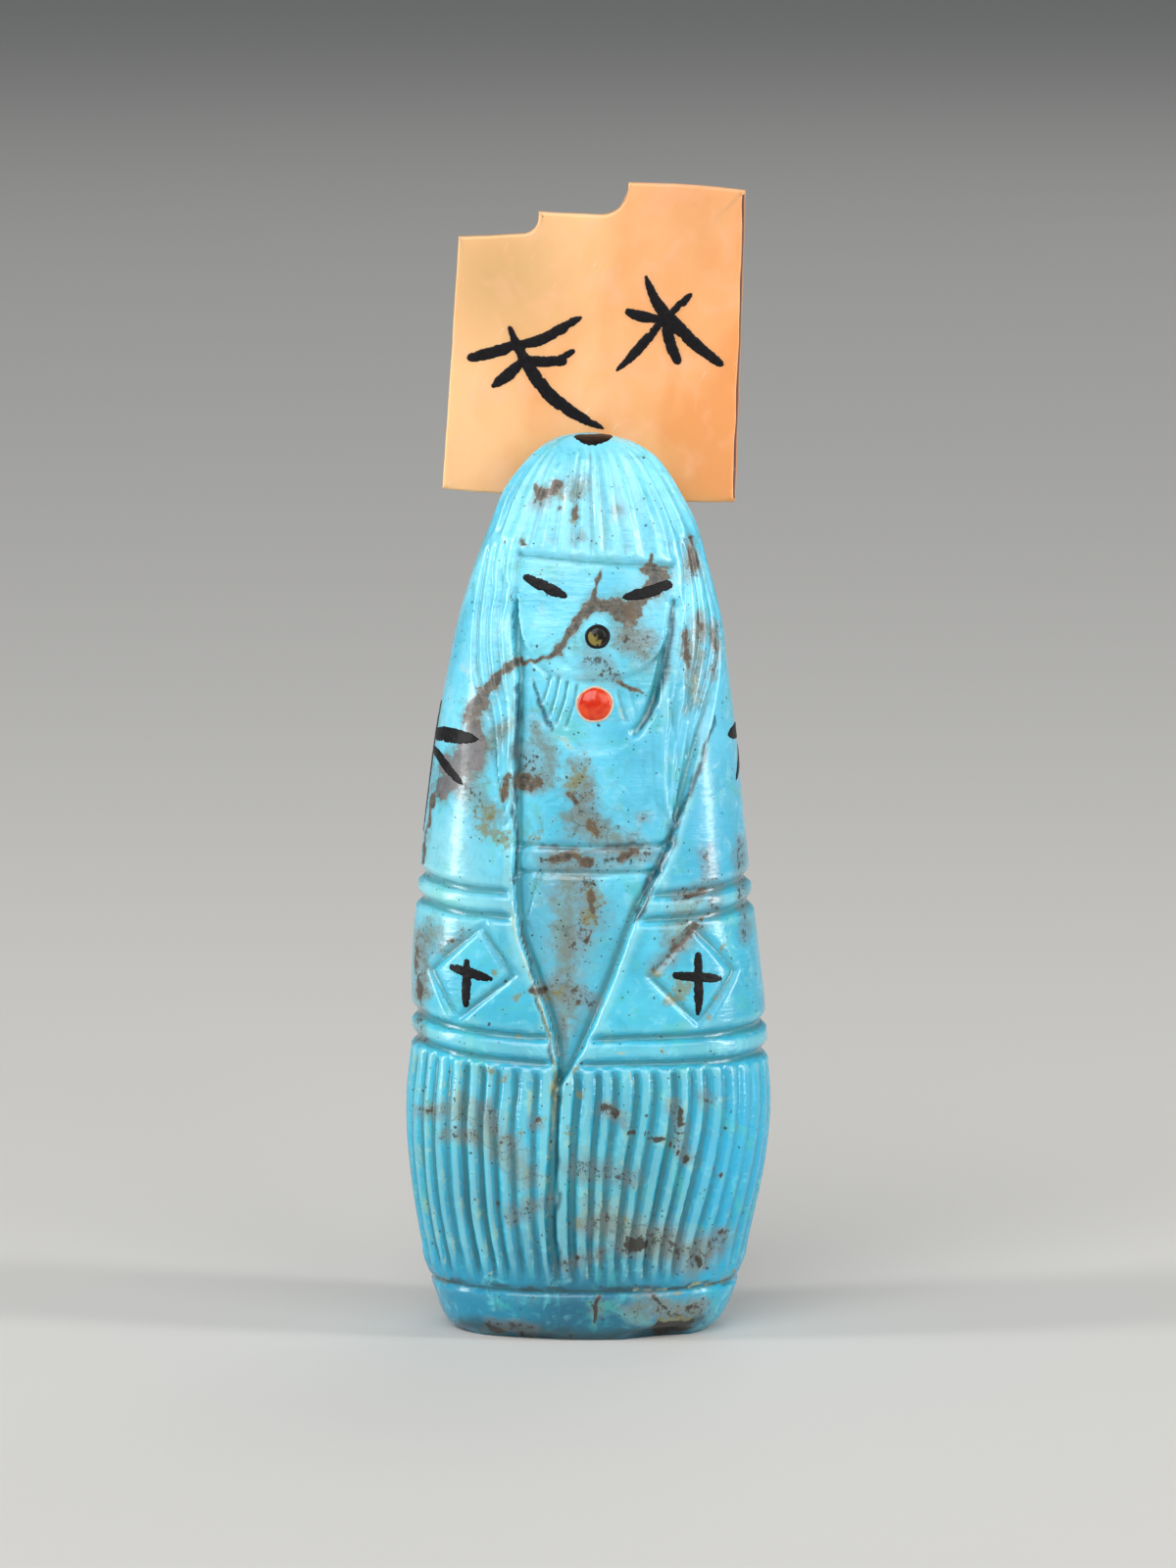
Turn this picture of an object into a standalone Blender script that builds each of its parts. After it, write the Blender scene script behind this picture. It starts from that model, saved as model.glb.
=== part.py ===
"""Standing maiden carved in turquoise, with a stepped shell plate behind the head.

The figure is one block of stone. Its carving is laid out on a chart of the surface: how far
round the body a cut lies, in percent of half the girth, and how high, in percent of the
figure's height. Cuts have their own widths and depths. The plate, the coral, the mouth and the
black inlays are pieces of their own, each in a socket with a glue gap.

Metres, +Z up. The face looks along -Y and the figure stands on Z = 0.
"""

import math

import bmesh
import bpy
import numpy as np
from mathutils import Matrix, Vector

MM = 0.001
PERCENT = 0.01
FADE_LENGTH = 1.0 * MM
MERGE_DISTANCE = 0.001 * MM

# Figure: the rubbed stone before it is carved
FIGURE_HEIGHT = 63.3 * MM
FIGURE_WIDTH = 25.8 * MM
FIGURE_DEPTH = 17.6 * MM
SECTION_SQUARENESS = 2.35  # 2 is an ellipse
SECTION_POINTS = 721
CURVE_PARTS = 24
GRID_PITCH = 0.21 * MM
CROWN_CAP_WIDTH = 1.0 * MM
FIGURE_TRIANGLES = 4950

# Outline of the stone: half width in percent of half FIGURE_WIDTH, height in percent
OUTLINE = [
    (66.0, -1.8), (71.0, 0.0), (79.3, 2.5), (88.9, 9.3), (97.1, 17.7), (100.0, 25.1),
    (96.7, 33.0), (91.7, 46.9), (82.6, 64.1), (77.0, 73.1), (72.5, 78.3), (65.1, 84.1),
    (57.2, 89.0), (49.3, 92.7), (41.0, 95.5), (30.9, 97.8), (17.0, 99.4), (0.0, 100.0),
]

# Opening of the shawl, with the face and the dress in it: round and height in percent
LEFT_EDGE = [
    (-24.0, 86.0), (-20.2, 80.3), (-17.9, 73.9), (-17.3, 67.4), (-16.4, 59.7), (-15.7, 48.3),
    (-12.1, 41.4), (-8.2, 35.7), (-6.3, 30.0), (-6.9, 23.7), (-7.8, 12.9), (-7.3, 5.8),
]
RIGHT_EDGE = [
    (27.9, 86.0), (23.4, 80.0), (19.6, 73.9), (18.2, 67.4), (18.2, 60.3), (20.6, 57.6),
    (18.2, 54.3), (12.6, 49.3), (9.3, 45.8), (5.1, 40.3), (-2.0, 32.2), (-5.4, 29.5),
    (-12.0, 27.0),
]
OPENING_SLOPE = 0.45 * MM
FACE_RECESS = 0.28 * MM
COLLAR_RECESS = 0.62 * MM
DRESS_RECESS = 0.46 * MM
EDGE_CUT_WIDTH = 0.8 * MM
EDGE_CUT_DEPTH = 0.34 * MM

# Locks of hair beside the face, from the opening out to these lines
LEFT_LOCK = [
    (-39.6, 88.9), (-35.9, 83.0), (-32.9, 78.2), (-29.5, 73.4), (-25.0, 70.2), (-20.7, 61.6),
    (-18.3, 55.5), (-16.0, 52.0),
]
RIGHT_LOCK = [
    (43.1, 88.9), (43.3, 82.9), (42.4, 78.6), (38.9, 74.4), (33.9, 70.9), (28.6, 66.2),
    (24.3, 61.5), (21.5, 58.0), (18.0, 54.0),
]
LEFT_LOCK_STRANDS = 3
RIGHT_LOCK_STRANDS = 4
LOCK_TOP = 88.0
LEFT_LOCK_TIP = 53.5
RIGHT_LOCK_TIP = 58.5
LOCK_CUT_WIDTH = 0.75 * MM
LOCK_CUT_DEPTH = 0.3 * MM
INNER_STRAND_DEPTH = 0.21 * MM

# Hair over the crown and down the back
HAIR_STRANDS_AROUND = 32
HAIR_DEPTH = 0.26 * MM
HAIR_STEEPNESS = 0.3
BANGS_HEIGHT = 86.4
HAIR_LINE_HEIGHT = 89.0
CROWN_FADE_HEIGHT = 98.6
BACK_HAIR_FROM = 78.0
BACK_HAIR_HEIGHT = 53.5
BANGS_CUT_WIDTH = 0.9 * MM
BANGS_CUT_DEPTH = 0.2 * MM

# Face oval below the cheeks, and the collar
FACE_CENTRE = (1.7, 82.1)
FACE_HALF_WIDTH = 5.55 * MM
FACE_DROP = 5.25 * MM
FACE_SQUARENESS = 2.6
COLLAR_CENTRE = (2.4, 74.2)
COLLAR_HALF_WIDTH = 4.65 * MM
COLLAR_DROP = 5.1 * MM
COLLAR_SQUARENESS = 2.0
COLLAR_CUT_WIDTH = 0.9 * MM
COLLAR_CUT_DEPTH = 0.3 * MM

# Belt over the dress
BELT_TOP_HEIGHT = 55.5
BELT_BOTTOM_HEIGHT = 52.6
BELT_CUT_WIDTH = 0.7 * MM
BELT_CUT_DEPTH = 0.24 * MM

# Bands cut round the shawl: height at the front, rise to the left side, rise to the right side
BANDS = [(50.1, 1.0, 0.6), (47.4, 1.0, 0.6), (34.4, 1.3, 0.2), (31.6, 1.3, -0.2)]
BAND_CUT_WIDTH = 1.0 * MM
BAND_CUT_DEPTH = 0.46 * MM
BAND_RISE_REACH = 41.0
BAND_LEVEL_AT = 75.0
BAND_LEVEL_WIDTH = 50.0

# Diamonds between the two pairs of bands: round, and how far the top leans to the right
DIAMONDS = [(-25.6, 0.85 * MM), (23.2, 0.0), (-75.5, 0.0), (75.5, 0.0)]
DIAMOND_HEIGHT = 41.2
DIAMOND_HALF_WIDTH = 3.3 * MM
DIAMOND_HALF_HEIGHT = 3.35 * MM
DIAMOND_CUT_WIDTH = 1.0 * MM
DIAMOND_CUT_DEPTH = 0.34 * MM

# Fringe and foot
FRINGE_PITCH = 1.36 * MM
FRINGE_DEPTH = 0.38 * MM
FRINGE_SIDE_DEPTH = 0.26 * MM
FRINGE_FRONT_REACH = 35.0
FRINGE_FRONT_FADE = 20.0
FRINGE_TOP_MARGIN = 0.55 * MM
FRINGE_TOP_SLOPE = 0.6 * MM
FRINGE_CUT_SHARE = 0.62
FRINGE_LEAN = 0.8 * MM
SEAM_WIDTH = 1.0 * MM
SEAM_DEPTH = 0.5 * MM
FOOT_HEIGHT = 5.9
FOOT_SET_IN = 0.22 * MM
FOOT_SET_IN_REACH = 3.5 * MM
FOOT_CUT_WIDTH = 0.6 * MM
FOOT_CUT_DEPTH = 0.24 * MM

# Chips along the lower edge: round in percent, then half length, height and depth
CHIPS = [
    (21.0, 2.6 * MM, 1.0 * MM, 0.7 * MM),
    (-17.0, 3.0 * MM, 0.7 * MM, 0.4 * MM),
]

# Inlays
GLUE_GAP = 0.06 * MM
INLAY_DEPTH = 0.7 * MM
INLAY_RISE = 0.08 * MM
CROSSING_STEP = 0.015 * MM
CUTTER_RISE = 1.2 * MM
CORAL_DIAMETER = 2.4 * MM
CORAL_PLACE = (1.7, 71.0)
CORAL_CROWN = 0.35 * MM
MOUTH_DIAMETER = 1.65 * MM
MOUTH_PLACE = (2.6, 78.4)
MOUTH_CROWN = 0.08 * MM
DRILLED_DEPTH = 1.3 * MM
PLUG_SIDES = 16
PLUG_RINGS = 3

# Strokes on the stone: points in percent round and percent up
STROKE_PARTS = 8
STROKE_FULLNESS = 0.6  # a lower power keeps a stroke wide nearer to its ends
EYE_WIDTH = 0.62 * MM
EYE_END_WIDTH = EYE_WIDTH / 3
EYES = {
    "eye_inlay_left": [(-20.0, 84.75), (-13.0, 83.75), (-6.4, 82.75)],
    "eye_inlay_right": [(26.0, 83.85), (18.0, 83.05), (10.4, 82.45)],
}
CROSS_WIDTH = 0.66 * MM
CROSS_END_WIDTH = CROSS_WIDTH / 2
CROSSES = {
    "cross_inlay_front_left": [[(-27.2, 42.9), (-26.6, 37.4)], [(-31.0, 41.9), (-20.6, 40.9)]],
    "cross_inlay_front_right": [[(23.9, 43.3), (23.3, 36.9)], [(18.5, 41.2), (28.9, 40.5)]],
    "cross_inlay_back_left": [[(-75.5, 43.5), (-75.5, 38.0)], [(-80.5, 41.0), (-70.5, 41.0)]],
    "cross_inlay_back_right": [[(75.5, 43.5), (75.5, 38.0)], [(70.5, 41.0), (80.5, 41.0)]],
}
DRAGONFLY_TAIL_WIDTH = 0.75 * MM
DRAGONFLY_TIP_WIDTH = 0.3 * MM
WING_ROOT_SHARE = 0.6
DRAGONFLY_LEFT_AT = 49.0
DRAGONFLY_RIGHT_AT = 55.5
DRAGONFLY_BODY = [(0.0, 69.8), (0.6, 62.0), (1.6, 55.8)]
DRAGONFLY_WINGS = [
    ([(-0.8, 68.0), (10.0, 68.5), (20.5, 67.2)], 1.2 * MM),
    ([(-0.8, 66.1), (8.0, 65.0), (17.5, 62.2)], 0.8 * MM),
]
CROWN_HALF_LENGTH = 1.3 * MM
CROWN_HALF_WIDTH = 0.85 * MM
CROWN_END_WIDTH = 0.3 * MM
CROWN_PLACE = (0.35 * MM, -1.15 * MM)

# Shell plate: sizes from its own lower left corner, leaning to the right
TABLITA_WIDTH = 20.7 * MM
TABLITA_THICKNESS = 1.5 * MM
TABLITA_TILT = 2.7
TABLITA_LEFT = -10.25 * MM
TABLITA_DROP = 4.2 * MM  # its lower left corner below the crown
TABLITA_BACK_INSET = 0.35 * MM
LOWER_TREAD = 18.1 * MM
LOWER_TREAD_FALL = 0.4 * MM
LOWER_TREAD_LENGTH = 5.85 * MM
MIDDLE_TREAD_LENGTH = 6.2 * MM
FIRST_STEP_RADIUS = 1.1 * MM
SECOND_STEP_RADIUS = 1.9 * MM
FIRST_STEP_RISE = FIRST_STEP_RADIUS + 0.5 * MM
SECOND_STEP_RISE = SECOND_STEP_RADIUS + 0.4 * MM
SIDE_TAPER = 0.35 * MM
EDGE_BEVEL = 0.18 * MM
FILLET_PARTS = 4
TABLITA_INLAY_DEPTH = 0.6 * MM

# Strokes on the plate in stroke units from its corner, with widths at start, middle and end
STROKE_UNIT = 1.0 * MM
TABLITA_STROKES = {
    "tablita_dragonfly_inlay": [
        ([(4.2, 11.7), (5.1, 9.75), (6.1, 8.1), (7.2, 6.75), (9.0, 5.45), (11.0, 4.7)], (0.3, 0.7, 0.2)),
        ([(1.35, 9.15), (4.15, 10.2), (6.0, 10.7), (9.3, 12.5)], (0.6, 0.75, 0.35)),
        ([(5.35, 9.4), (6.3, 9.1), (8.1, 9.15), (8.9, 10.15)], (0.4, 0.7, 0.25)),
        ([(3.05, 7.2), (4.15, 8.45), (5.25, 9.35)], (0.3, 0.7, 0.4)),
    ],
    "tablita_star_inlay": [
        ([(13.65, 15.6), (15.0, 13.1), (16.6, 11.3), (19.25, 9.5)], (0.3, 0.85, 0.5)),
        ([(11.85, 8.75), (13.5, 10.95), (15.15, 12.65), (16.95, 14.5)], (0.25, 0.6, 0.25)),
        ([(12.25, 13.0), (13.8, 12.75), (14.9, 12.8)], (0.4, 0.6, 0.3)),
        ([(15.1, 12.65), (15.45, 10.95), (16.15, 9.5)], (0.4, 0.75, 0.6)),
    ],
}

SUBJECT = "turquoise_maiden"
SHARP_ANGLE = math.radians(35)

# Linear base colour, roughness
TURQUOISE = ("turquoise", (0.25, 0.72, 0.84), 0.25)
SHELL = ("melon_shell", (0.98, 0.60, 0.28), 0.3)
CORAL = ("coral", (0.75, 0.07, 0.03), 0.2)
JET = ("jet", (0.012, 0.011, 0.010), 0.3)
MOUTH_STONE = ("mouth_stone", (0.03, 0.022, 0.008), 0.1)


# Curves and cuts

def smooth_curve(knots, per_span=CURVE_PARTS):
    """Points of a smooth curve through the knots, one row each."""
    knots = np.array(knots, float)
    padded = np.vstack([2 * knots[0] - knots[1], knots, 2 * knots[-1] - knots[-2]])
    steps = np.linspace(0, 1, per_span, endpoint=False)[:, None]
    spans = []
    for before, start, end, after in zip(padded, padded[1:], padded[2:], padded[3:]):
        linear = end - before
        square = 2 * before - 5 * start + 4 * end - after
        cube = 3 * start - before - 3 * end + after
        spans.append(0.5 * (2 * start + linear * steps + square * steps**2 + cube * steps**3))
    return np.vstack(spans + [knots[-1:]])


def ramp(distance, width):
    """0 to 1 as the distance passes from one side of a line to the other."""
    share = np.clip(0.5 + distance / width, 0, 1)
    return share * share * (3 - 2 * share)


def round_cut(distance, width):
    """Section of a round-bottomed cut, 1 on its line and 0 at its edges."""
    return np.clip(1 - (2 * distance / width) ** 2, 0, 1)


def v_cut(distance, width):
    """Section of a V cut, 1 on its line and 0 at its edges."""
    return np.clip(1 - np.abs(2 * distance / width), 0, 1)


# The rubbed stone

def section_table():
    """Half of the rounded-oval section for a half width of 1: share of the girth, x and y."""
    squareness = SECTION_SQUARENESS
    angle = np.linspace(0, math.pi, SECTION_POINTS)
    depth = FIGURE_DEPTH / FIGURE_WIDTH
    sine = np.abs(np.sin(angle)) ** squareness
    cosine = np.abs(np.cos(angle) / depth) ** squareness
    radius = (sine + cosine) ** (-1 / squareness)
    x = radius * np.sin(angle)
    y = -radius * np.cos(angle)
    girth = np.concatenate([[0], np.cumsum(np.hypot(np.diff(x), np.diff(y)))])
    return girth, x, y


def outline_table():
    """Half width, height and direction of the outline, evenly spaced up the stone."""
    curve = smooth_curve(OUTLINE) * PERCENT
    curve = curve * (FIGURE_WIDTH / 2, FIGURE_HEIGHT)
    run = np.concatenate([[0], np.cumsum(np.hypot(*np.diff(curve, axis=0).T))])
    even = np.linspace(0, run[-1], int(run[-1] / GRID_PITCH))
    width = np.interp(even, run, curve[:, 0])
    height = np.maximum.accumulate(np.interp(even, run, curve[:, 1]))
    return width, height, np.gradient(width), np.gradient(height)


GIRTH, SECTION_X, SECTION_Y = section_table()
WIDTHS, HEIGHTS, WIDTH_STEPS, HEIGHT_STEPS = outline_table()


def half_girth(height):
    """Length from the front line round to the back line, at a height."""
    return GIRTH[-1] * np.interp(height, HEIGHTS, WIDTHS)


def blank_surface(share, width, width_step, height, height_step):
    """Point and normal of the rubbed stone, share from -1 (back) by 0 (front) to 1."""
    reach = np.abs(share) * GIRTH[-1]
    side = np.sign(share)
    x = np.interp(reach, GIRTH, SECTION_X)
    y = np.interp(reach, GIRTH, SECTION_Y)
    depth = FIGURE_DEPTH / FIGURE_WIDTH
    power = SECTION_SQUARENESS - 1
    normal = np.stack([
        side * x**power * height_step,
        np.sign(y) * np.abs(y / depth) ** power / depth * height_step,
        -width_step * np.ones_like(x),
    ], axis=-1)
    normal /= np.linalg.norm(normal, axis=-1, keepdims=True)
    point = np.stack([side * x * width, y * width, height * np.ones_like(x)], axis=-1)
    return point, normal


# The carving

def edge_at(curve, height):
    """Where an edge runs at a height, as a share of half the girth."""
    points = smooth_curve(curve)[::-1] * PERCENT
    return np.interp(height, points[:, 1] * FIGURE_HEIGHT, points[:, 0])


def band_height(band, share):
    """Height of a cut band: it rises from the front to each side and closes at the back."""
    front, left, right = (value * PERCENT * FIGURE_HEIGHT for value in band)
    rise = np.clip(np.abs(share) / (BAND_RISE_REACH * PERCENT), 0, 1) ** 2
    side = np.where(share < 0, left, right)
    behind = ramp(np.abs(share) - BAND_LEVEL_AT * PERCENT, BAND_LEVEL_WIDTH * PERCENT)
    return front + rise * (side * (1 - behind) + (left + right) / 2 * behind)


def oval(share, height, girth, centre, half_width, drop, squareness):
    """Distance down to the lower half of an oval; positive inside it."""
    across = np.abs(share - centre[0] * PERCENT) * girth / half_width
    below = np.clip(1 - across**squareness, 0, 1) ** (1 / squareness)
    bottom = centre[1] * PERCENT * FIGURE_HEIGHT - drop * below
    return height - bottom


def opening_cuts(share, height, girth):
    """Face, collar, dress and belt, recessed between the edges of the shawl."""
    bangs = BANGS_HEIGHT * PERCENT * FIGURE_HEIGHT
    left = (share - edge_at(LEFT_EDGE, height)) * girth
    right = (edge_at(RIGHT_EDGE, height) - share) * girth
    between = ramp(left, OPENING_SLOPE) * ramp(right, OPENING_SLOPE)
    inside = between * ramp(bangs - height, OPENING_SLOPE)
    over_chin = oval(share, height, girth, FACE_CENTRE, FACE_HALF_WIDTH, FACE_DROP, FACE_SQUARENESS)
    over_collar = oval(
        share, height, girth, COLLAR_CENTRE, COLLAR_HALF_WIDTH, COLLAR_DROP, COLLAR_SQUARENESS)
    face = ramp(over_chin, OPENING_SLOPE)
    collar = (1 - face) * ramp(over_collar, OPENING_SLOPE)
    dress = (1 - face) * (1 - collar)
    depth = inside * (FACE_RECESS * face + COLLAR_RECESS * collar + DRESS_RECESS * dress)
    collar_end = COLLAR_CENTRE[1] * PERCENT * FIGURE_HEIGHT + COLLAR_CUT_WIDTH
    collar_cut = ramp(collar_end - height, COLLAR_CUT_WIDTH) * round_cut(over_collar, COLLAR_CUT_WIDTH)
    depth += inside * COLLAR_CUT_DEPTH * collar_cut
    for edge in (left, right):
        line = edge - EDGE_CUT_WIDTH / 2
        depth += (1 - face) * inside * EDGE_CUT_DEPTH * round_cut(line, EDGE_CUT_WIDTH)
    for belt in (BELT_TOP_HEIGHT, BELT_BOTTOM_HEIGHT):
        line = height - belt * PERCENT * FIGURE_HEIGHT
        depth += inside * BELT_CUT_DEPTH * round_cut(line, BELT_CUT_WIDTH)
    depth += between * BANGS_CUT_DEPTH * round_cut(height - bangs, BANGS_CUT_WIDTH)
    return depth


def lock_cuts(share, height, girth):
    """Strands of the two locks that hang beside the face."""
    depth = np.zeros_like(share)
    sides = [
        (LEFT_EDGE, LEFT_LOCK, LEFT_LOCK_STRANDS, LEFT_LOCK_TIP),
        (RIGHT_EDGE, RIGHT_LOCK, RIGHT_LOCK_STRANDS, RIGHT_LOCK_TIP),
    ]
    for inner_curve, outer_curve, strands, tip in sides:
        inner = edge_at(inner_curve, height)
        outer = edge_at(outer_curve, height)
        place = (share - inner) / (outer - inner) * strands
        lock_width = np.abs(outer - inner) * girth / strands
        line = (place - np.round(place)) * lock_width
        low = tip * PERCENT * FIGURE_HEIGHT
        high = LOCK_TOP * PERCENT * FIGURE_HEIGHT
        within = ramp(height - low, FADE_LENGTH) * ramp(high - height, FADE_LENGTH)
        is_strand = (place > 0.5) & (place < strands + 0.5)
        outermost = np.round(place) == strands
        strand_depth = np.where(outermost, LOCK_CUT_DEPTH, INNER_STRAND_DEPTH)
        strand = v_cut(line, np.minimum(LOCK_CUT_WIDTH, lock_width))
        depth += within * is_strand * strand_depth * strand
    return depth


def hair_cuts(share, height, girth):
    """Strands over the crown, and down the back to a level end."""
    share_pitch = 2 / HAIR_STRANDS_AROUND
    bangs = BANGS_HEIGHT * PERCENT * FIGURE_HEIGHT
    place = (share - edge_at(LEFT_EDGE, bangs)) / share_pitch
    pitch = share_pitch * girth
    strand = v_cut((place - np.round(place)) * pitch, pitch)
    hair_line = HAIR_LINE_HEIGHT * PERCENT * FIGURE_HEIGHT
    in_bangs = (share > LEFT_EDGE[0][0] * PERCENT) & (share < RIGHT_EDGE[0][0] * PERCENT)
    start = np.where(in_bangs, bangs + BANGS_CUT_WIDTH, hair_line)
    crown = CROWN_FADE_HEIGHT * PERCENT * FIGURE_HEIGHT
    cap = ramp(height - start, FADE_LENGTH) * ramp(crown - height, FADE_LENGTH)
    back = (np.abs(share) - BACK_HAIR_FROM * PERCENT) * girth
    low = BACK_HAIR_HEIGHT * PERCENT * FIGURE_HEIGHT
    down_back = ramp(back, FADE_LENGTH) * ramp(height - low, LOCK_CUT_WIDTH)
    down_back *= ramp(hair_line + FADE_LENGTH - height, FADE_LENGTH)
    strand *= np.minimum(HAIR_DEPTH, HAIR_STEEPNESS * pitch)
    depth = strand * np.clip(cap + down_back, 0, 1)
    beside = ramp(height - low, FADE_LENGTH) * ramp(hair_line - height, FADE_LENGTH)
    side_cut = beside * round_cut(back, LOCK_CUT_WIDTH)
    end_cut = round_cut(height - low, LOCK_CUT_WIDTH) * ramp(back, LOCK_CUT_WIDTH)
    return depth + LOCK_CUT_DEPTH * np.maximum(side_cut, end_cut)


def shawl_cuts(share, height, girth):
    """Bands round the shawl and the diamonds between them."""
    left = (edge_at(LEFT_EDGE, height) - share) * girth
    right = (share - edge_at(RIGHT_EDGE, height)) * girth
    on_shawl = ramp(np.maximum(left, right) - EDGE_CUT_WIDTH, OPENING_SLOPE)
    depth = np.zeros_like(share)
    for band in BANDS:
        line = height - band_height(band, share)
        depth = np.maximum(depth, BAND_CUT_DEPTH * v_cut(line, BAND_CUT_WIDTH))
    for around, lean in DIAMONDS:
        up = height - DIAMOND_HEIGHT * PERCENT * FIGURE_HEIGHT
        across = (share - around * PERCENT) * girth - lean * up / DIAMOND_HALF_HEIGHT
        size = np.abs(across) / DIAMOND_HALF_WIDTH + np.abs(up) / DIAMOND_HALF_HEIGHT
        slope = math.hypot(1 / DIAMOND_HALF_WIDTH, 1 / DIAMOND_HALF_HEIGHT)
        cut = v_cut((size - 1) / slope, DIAMOND_CUT_WIDTH)
        depth = np.maximum(depth, DIAMOND_CUT_DEPTH * cut)
    return on_shawl * depth


def fringe_cuts(share, height, girth):
    """Flutes of the fringe, its seam, and the foot below it."""
    foot = FOOT_HEIGHT * PERCENT * FIGURE_HEIGHT
    top = band_height(BANDS[-1], share) - FRINGE_TOP_MARGIN
    drop = np.clip((top - height) / (top - foot), 0, 1)
    lean = FRINGE_LEAN * drop * np.sin(math.pi * np.clip(share, 0, 1))
    seam = (share - edge_at(LEFT_EDGE, height)) * girth
    flutes = round(2 * half_girth(BANDS[-1][0] * PERCENT * FIGURE_HEIGHT) / FRINGE_PITCH)
    pitch = 2 * girth / flutes
    place = (seam + lean) / pitch
    line = (place - np.round(place)) * pitch
    front = ramp(FRINGE_FRONT_REACH * PERCENT - np.abs(share), FRINGE_FRONT_FADE * PERCENT)
    flute_depth = FRINGE_SIDE_DEPTH + (FRINGE_DEPTH - FRINGE_SIDE_DEPTH) * front
    flute = flute_depth * round_cut(line, FRINGE_CUT_SHARE * pitch)
    within = ramp(top - height, FRINGE_TOP_SLOPE) * ramp(height - foot - FOOT_CUT_WIDTH, FADE_LENGTH)
    seam_cut = SEAM_DEPTH * round_cut(seam, SEAM_WIDTH)
    depth = within * np.maximum(flute, seam_cut)
    over_foot = height - foot
    set_in = ramp(over_foot, OPENING_SLOPE) * np.clip(1 - over_foot / FOOT_SET_IN_REACH, 0, 1)
    depth += FOOT_SET_IN * set_in
    depth += FOOT_CUT_DEPTH * round_cut(over_foot - FOOT_CUT_WIDTH / 2, FOOT_CUT_WIDTH)
    return depth


def chip_cuts(share, height, girth):
    """Broken places along the lower edge."""
    depth = np.zeros_like(share)
    for around, half_length, tall, deep in CHIPS:
        along = (share - around * PERCENT) * girth / half_length
        reach = np.clip(1 - along**2, 0, 1) * np.maximum(1 - height / tall, 0)
        depth = np.maximum(depth, deep * reach)
    return depth


def carved_surface(share, width, width_step, height, height_step):
    """Points of the stone after carving."""
    point, normal = blank_surface(share, width, width_step, height, height_step)
    girth = GIRTH[-1] * width
    place = (share, height * np.ones_like(share), girth * np.ones_like(share))
    depth = opening_cuts(*place) + lock_cuts(*place) + hair_cuts(*place)
    depth += shawl_cuts(*place) + fringe_cuts(*place) + chip_cuts(*place)
    return point - normal * depth[..., None]


def on_stone(round_percent, height_percent, lift):
    """Points at a lift over the rubbed stone, from places on the chart."""
    share = np.atleast_1d(np.asarray(round_percent, float)) * PERCENT
    share = (share + 1) % 2 - 1
    height = np.atleast_1d(np.asarray(height_percent, float)) * PERCENT * FIGURE_HEIGHT
    columns = [np.interp(height, HEIGHTS, column) for column in (WIDTHS, WIDTH_STEPS, HEIGHT_STEPS)]
    point, normal = blank_surface(share, columns[0], columns[1], height, columns[2])
    return point + normal * np.asarray(lift)[..., None]


# Objects

def collection(name, inside=None):
    """A new collection, in the scene or inside another."""
    made = bpy.data.collections.new(name)
    (inside or bpy.context.scene.collection).children.link(made)
    return made


def finish(name, colour, roughness):
    """A material with a colour and a roughness."""
    made = bpy.data.materials.new(name)
    made.use_nodes = True
    shader = made.node_tree.nodes["Principled BSDF"]
    shader.inputs["Base Color"].default_value = (*colour, 1.0)
    shader.inputs["Roughness"].default_value = roughness
    return made


def add_object(name, mesh, where, material=None):
    """An object for a mesh; without a material it is a cutter."""
    made = bpy.data.objects.new(name, mesh)
    where.objects.link(made)
    if material:
        mesh.materials.clear()
        mesh.materials.append(material)
    else:
        made.hide_render = True
        made.display_type = "WIRE"
    return made


def mesh_from(name, points, faces):
    """A mesh of triangles pointing out."""
    mesh = bpy.data.meshes.new(name)
    mesh.from_pydata([tuple(point) for point in points], [], faces)
    shape = bmesh.new()
    shape.from_mesh(mesh)
    bmesh.ops.triangulate(shape, faces=shape.faces)
    bmesh.ops.recalc_face_normals(shape, faces=shape.faces)
    shape.to_mesh(mesh)
    shape.free()
    return mesh


def boolean(target, tools, operation="DIFFERENCE"):
    """Cuts a collection of tools from a target in one go, or joins them to it."""
    modifier = target.modifiers.new(operation.title(), "BOOLEAN")
    modifier.operation = operation
    modifier.solver = "EXACT"
    modifier.use_self = True
    modifier.operand_type = "COLLECTION"
    modifier.collection = tools


def settled(target):
    """Turns an object's modifiers into its mesh."""
    graph = bpy.context.evaluated_depsgraph_get()
    mesh = bpy.data.meshes.new_from_object(target.evaluated_get(graph))
    target.modifiers.clear()
    target.data = mesh
    return target


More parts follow.
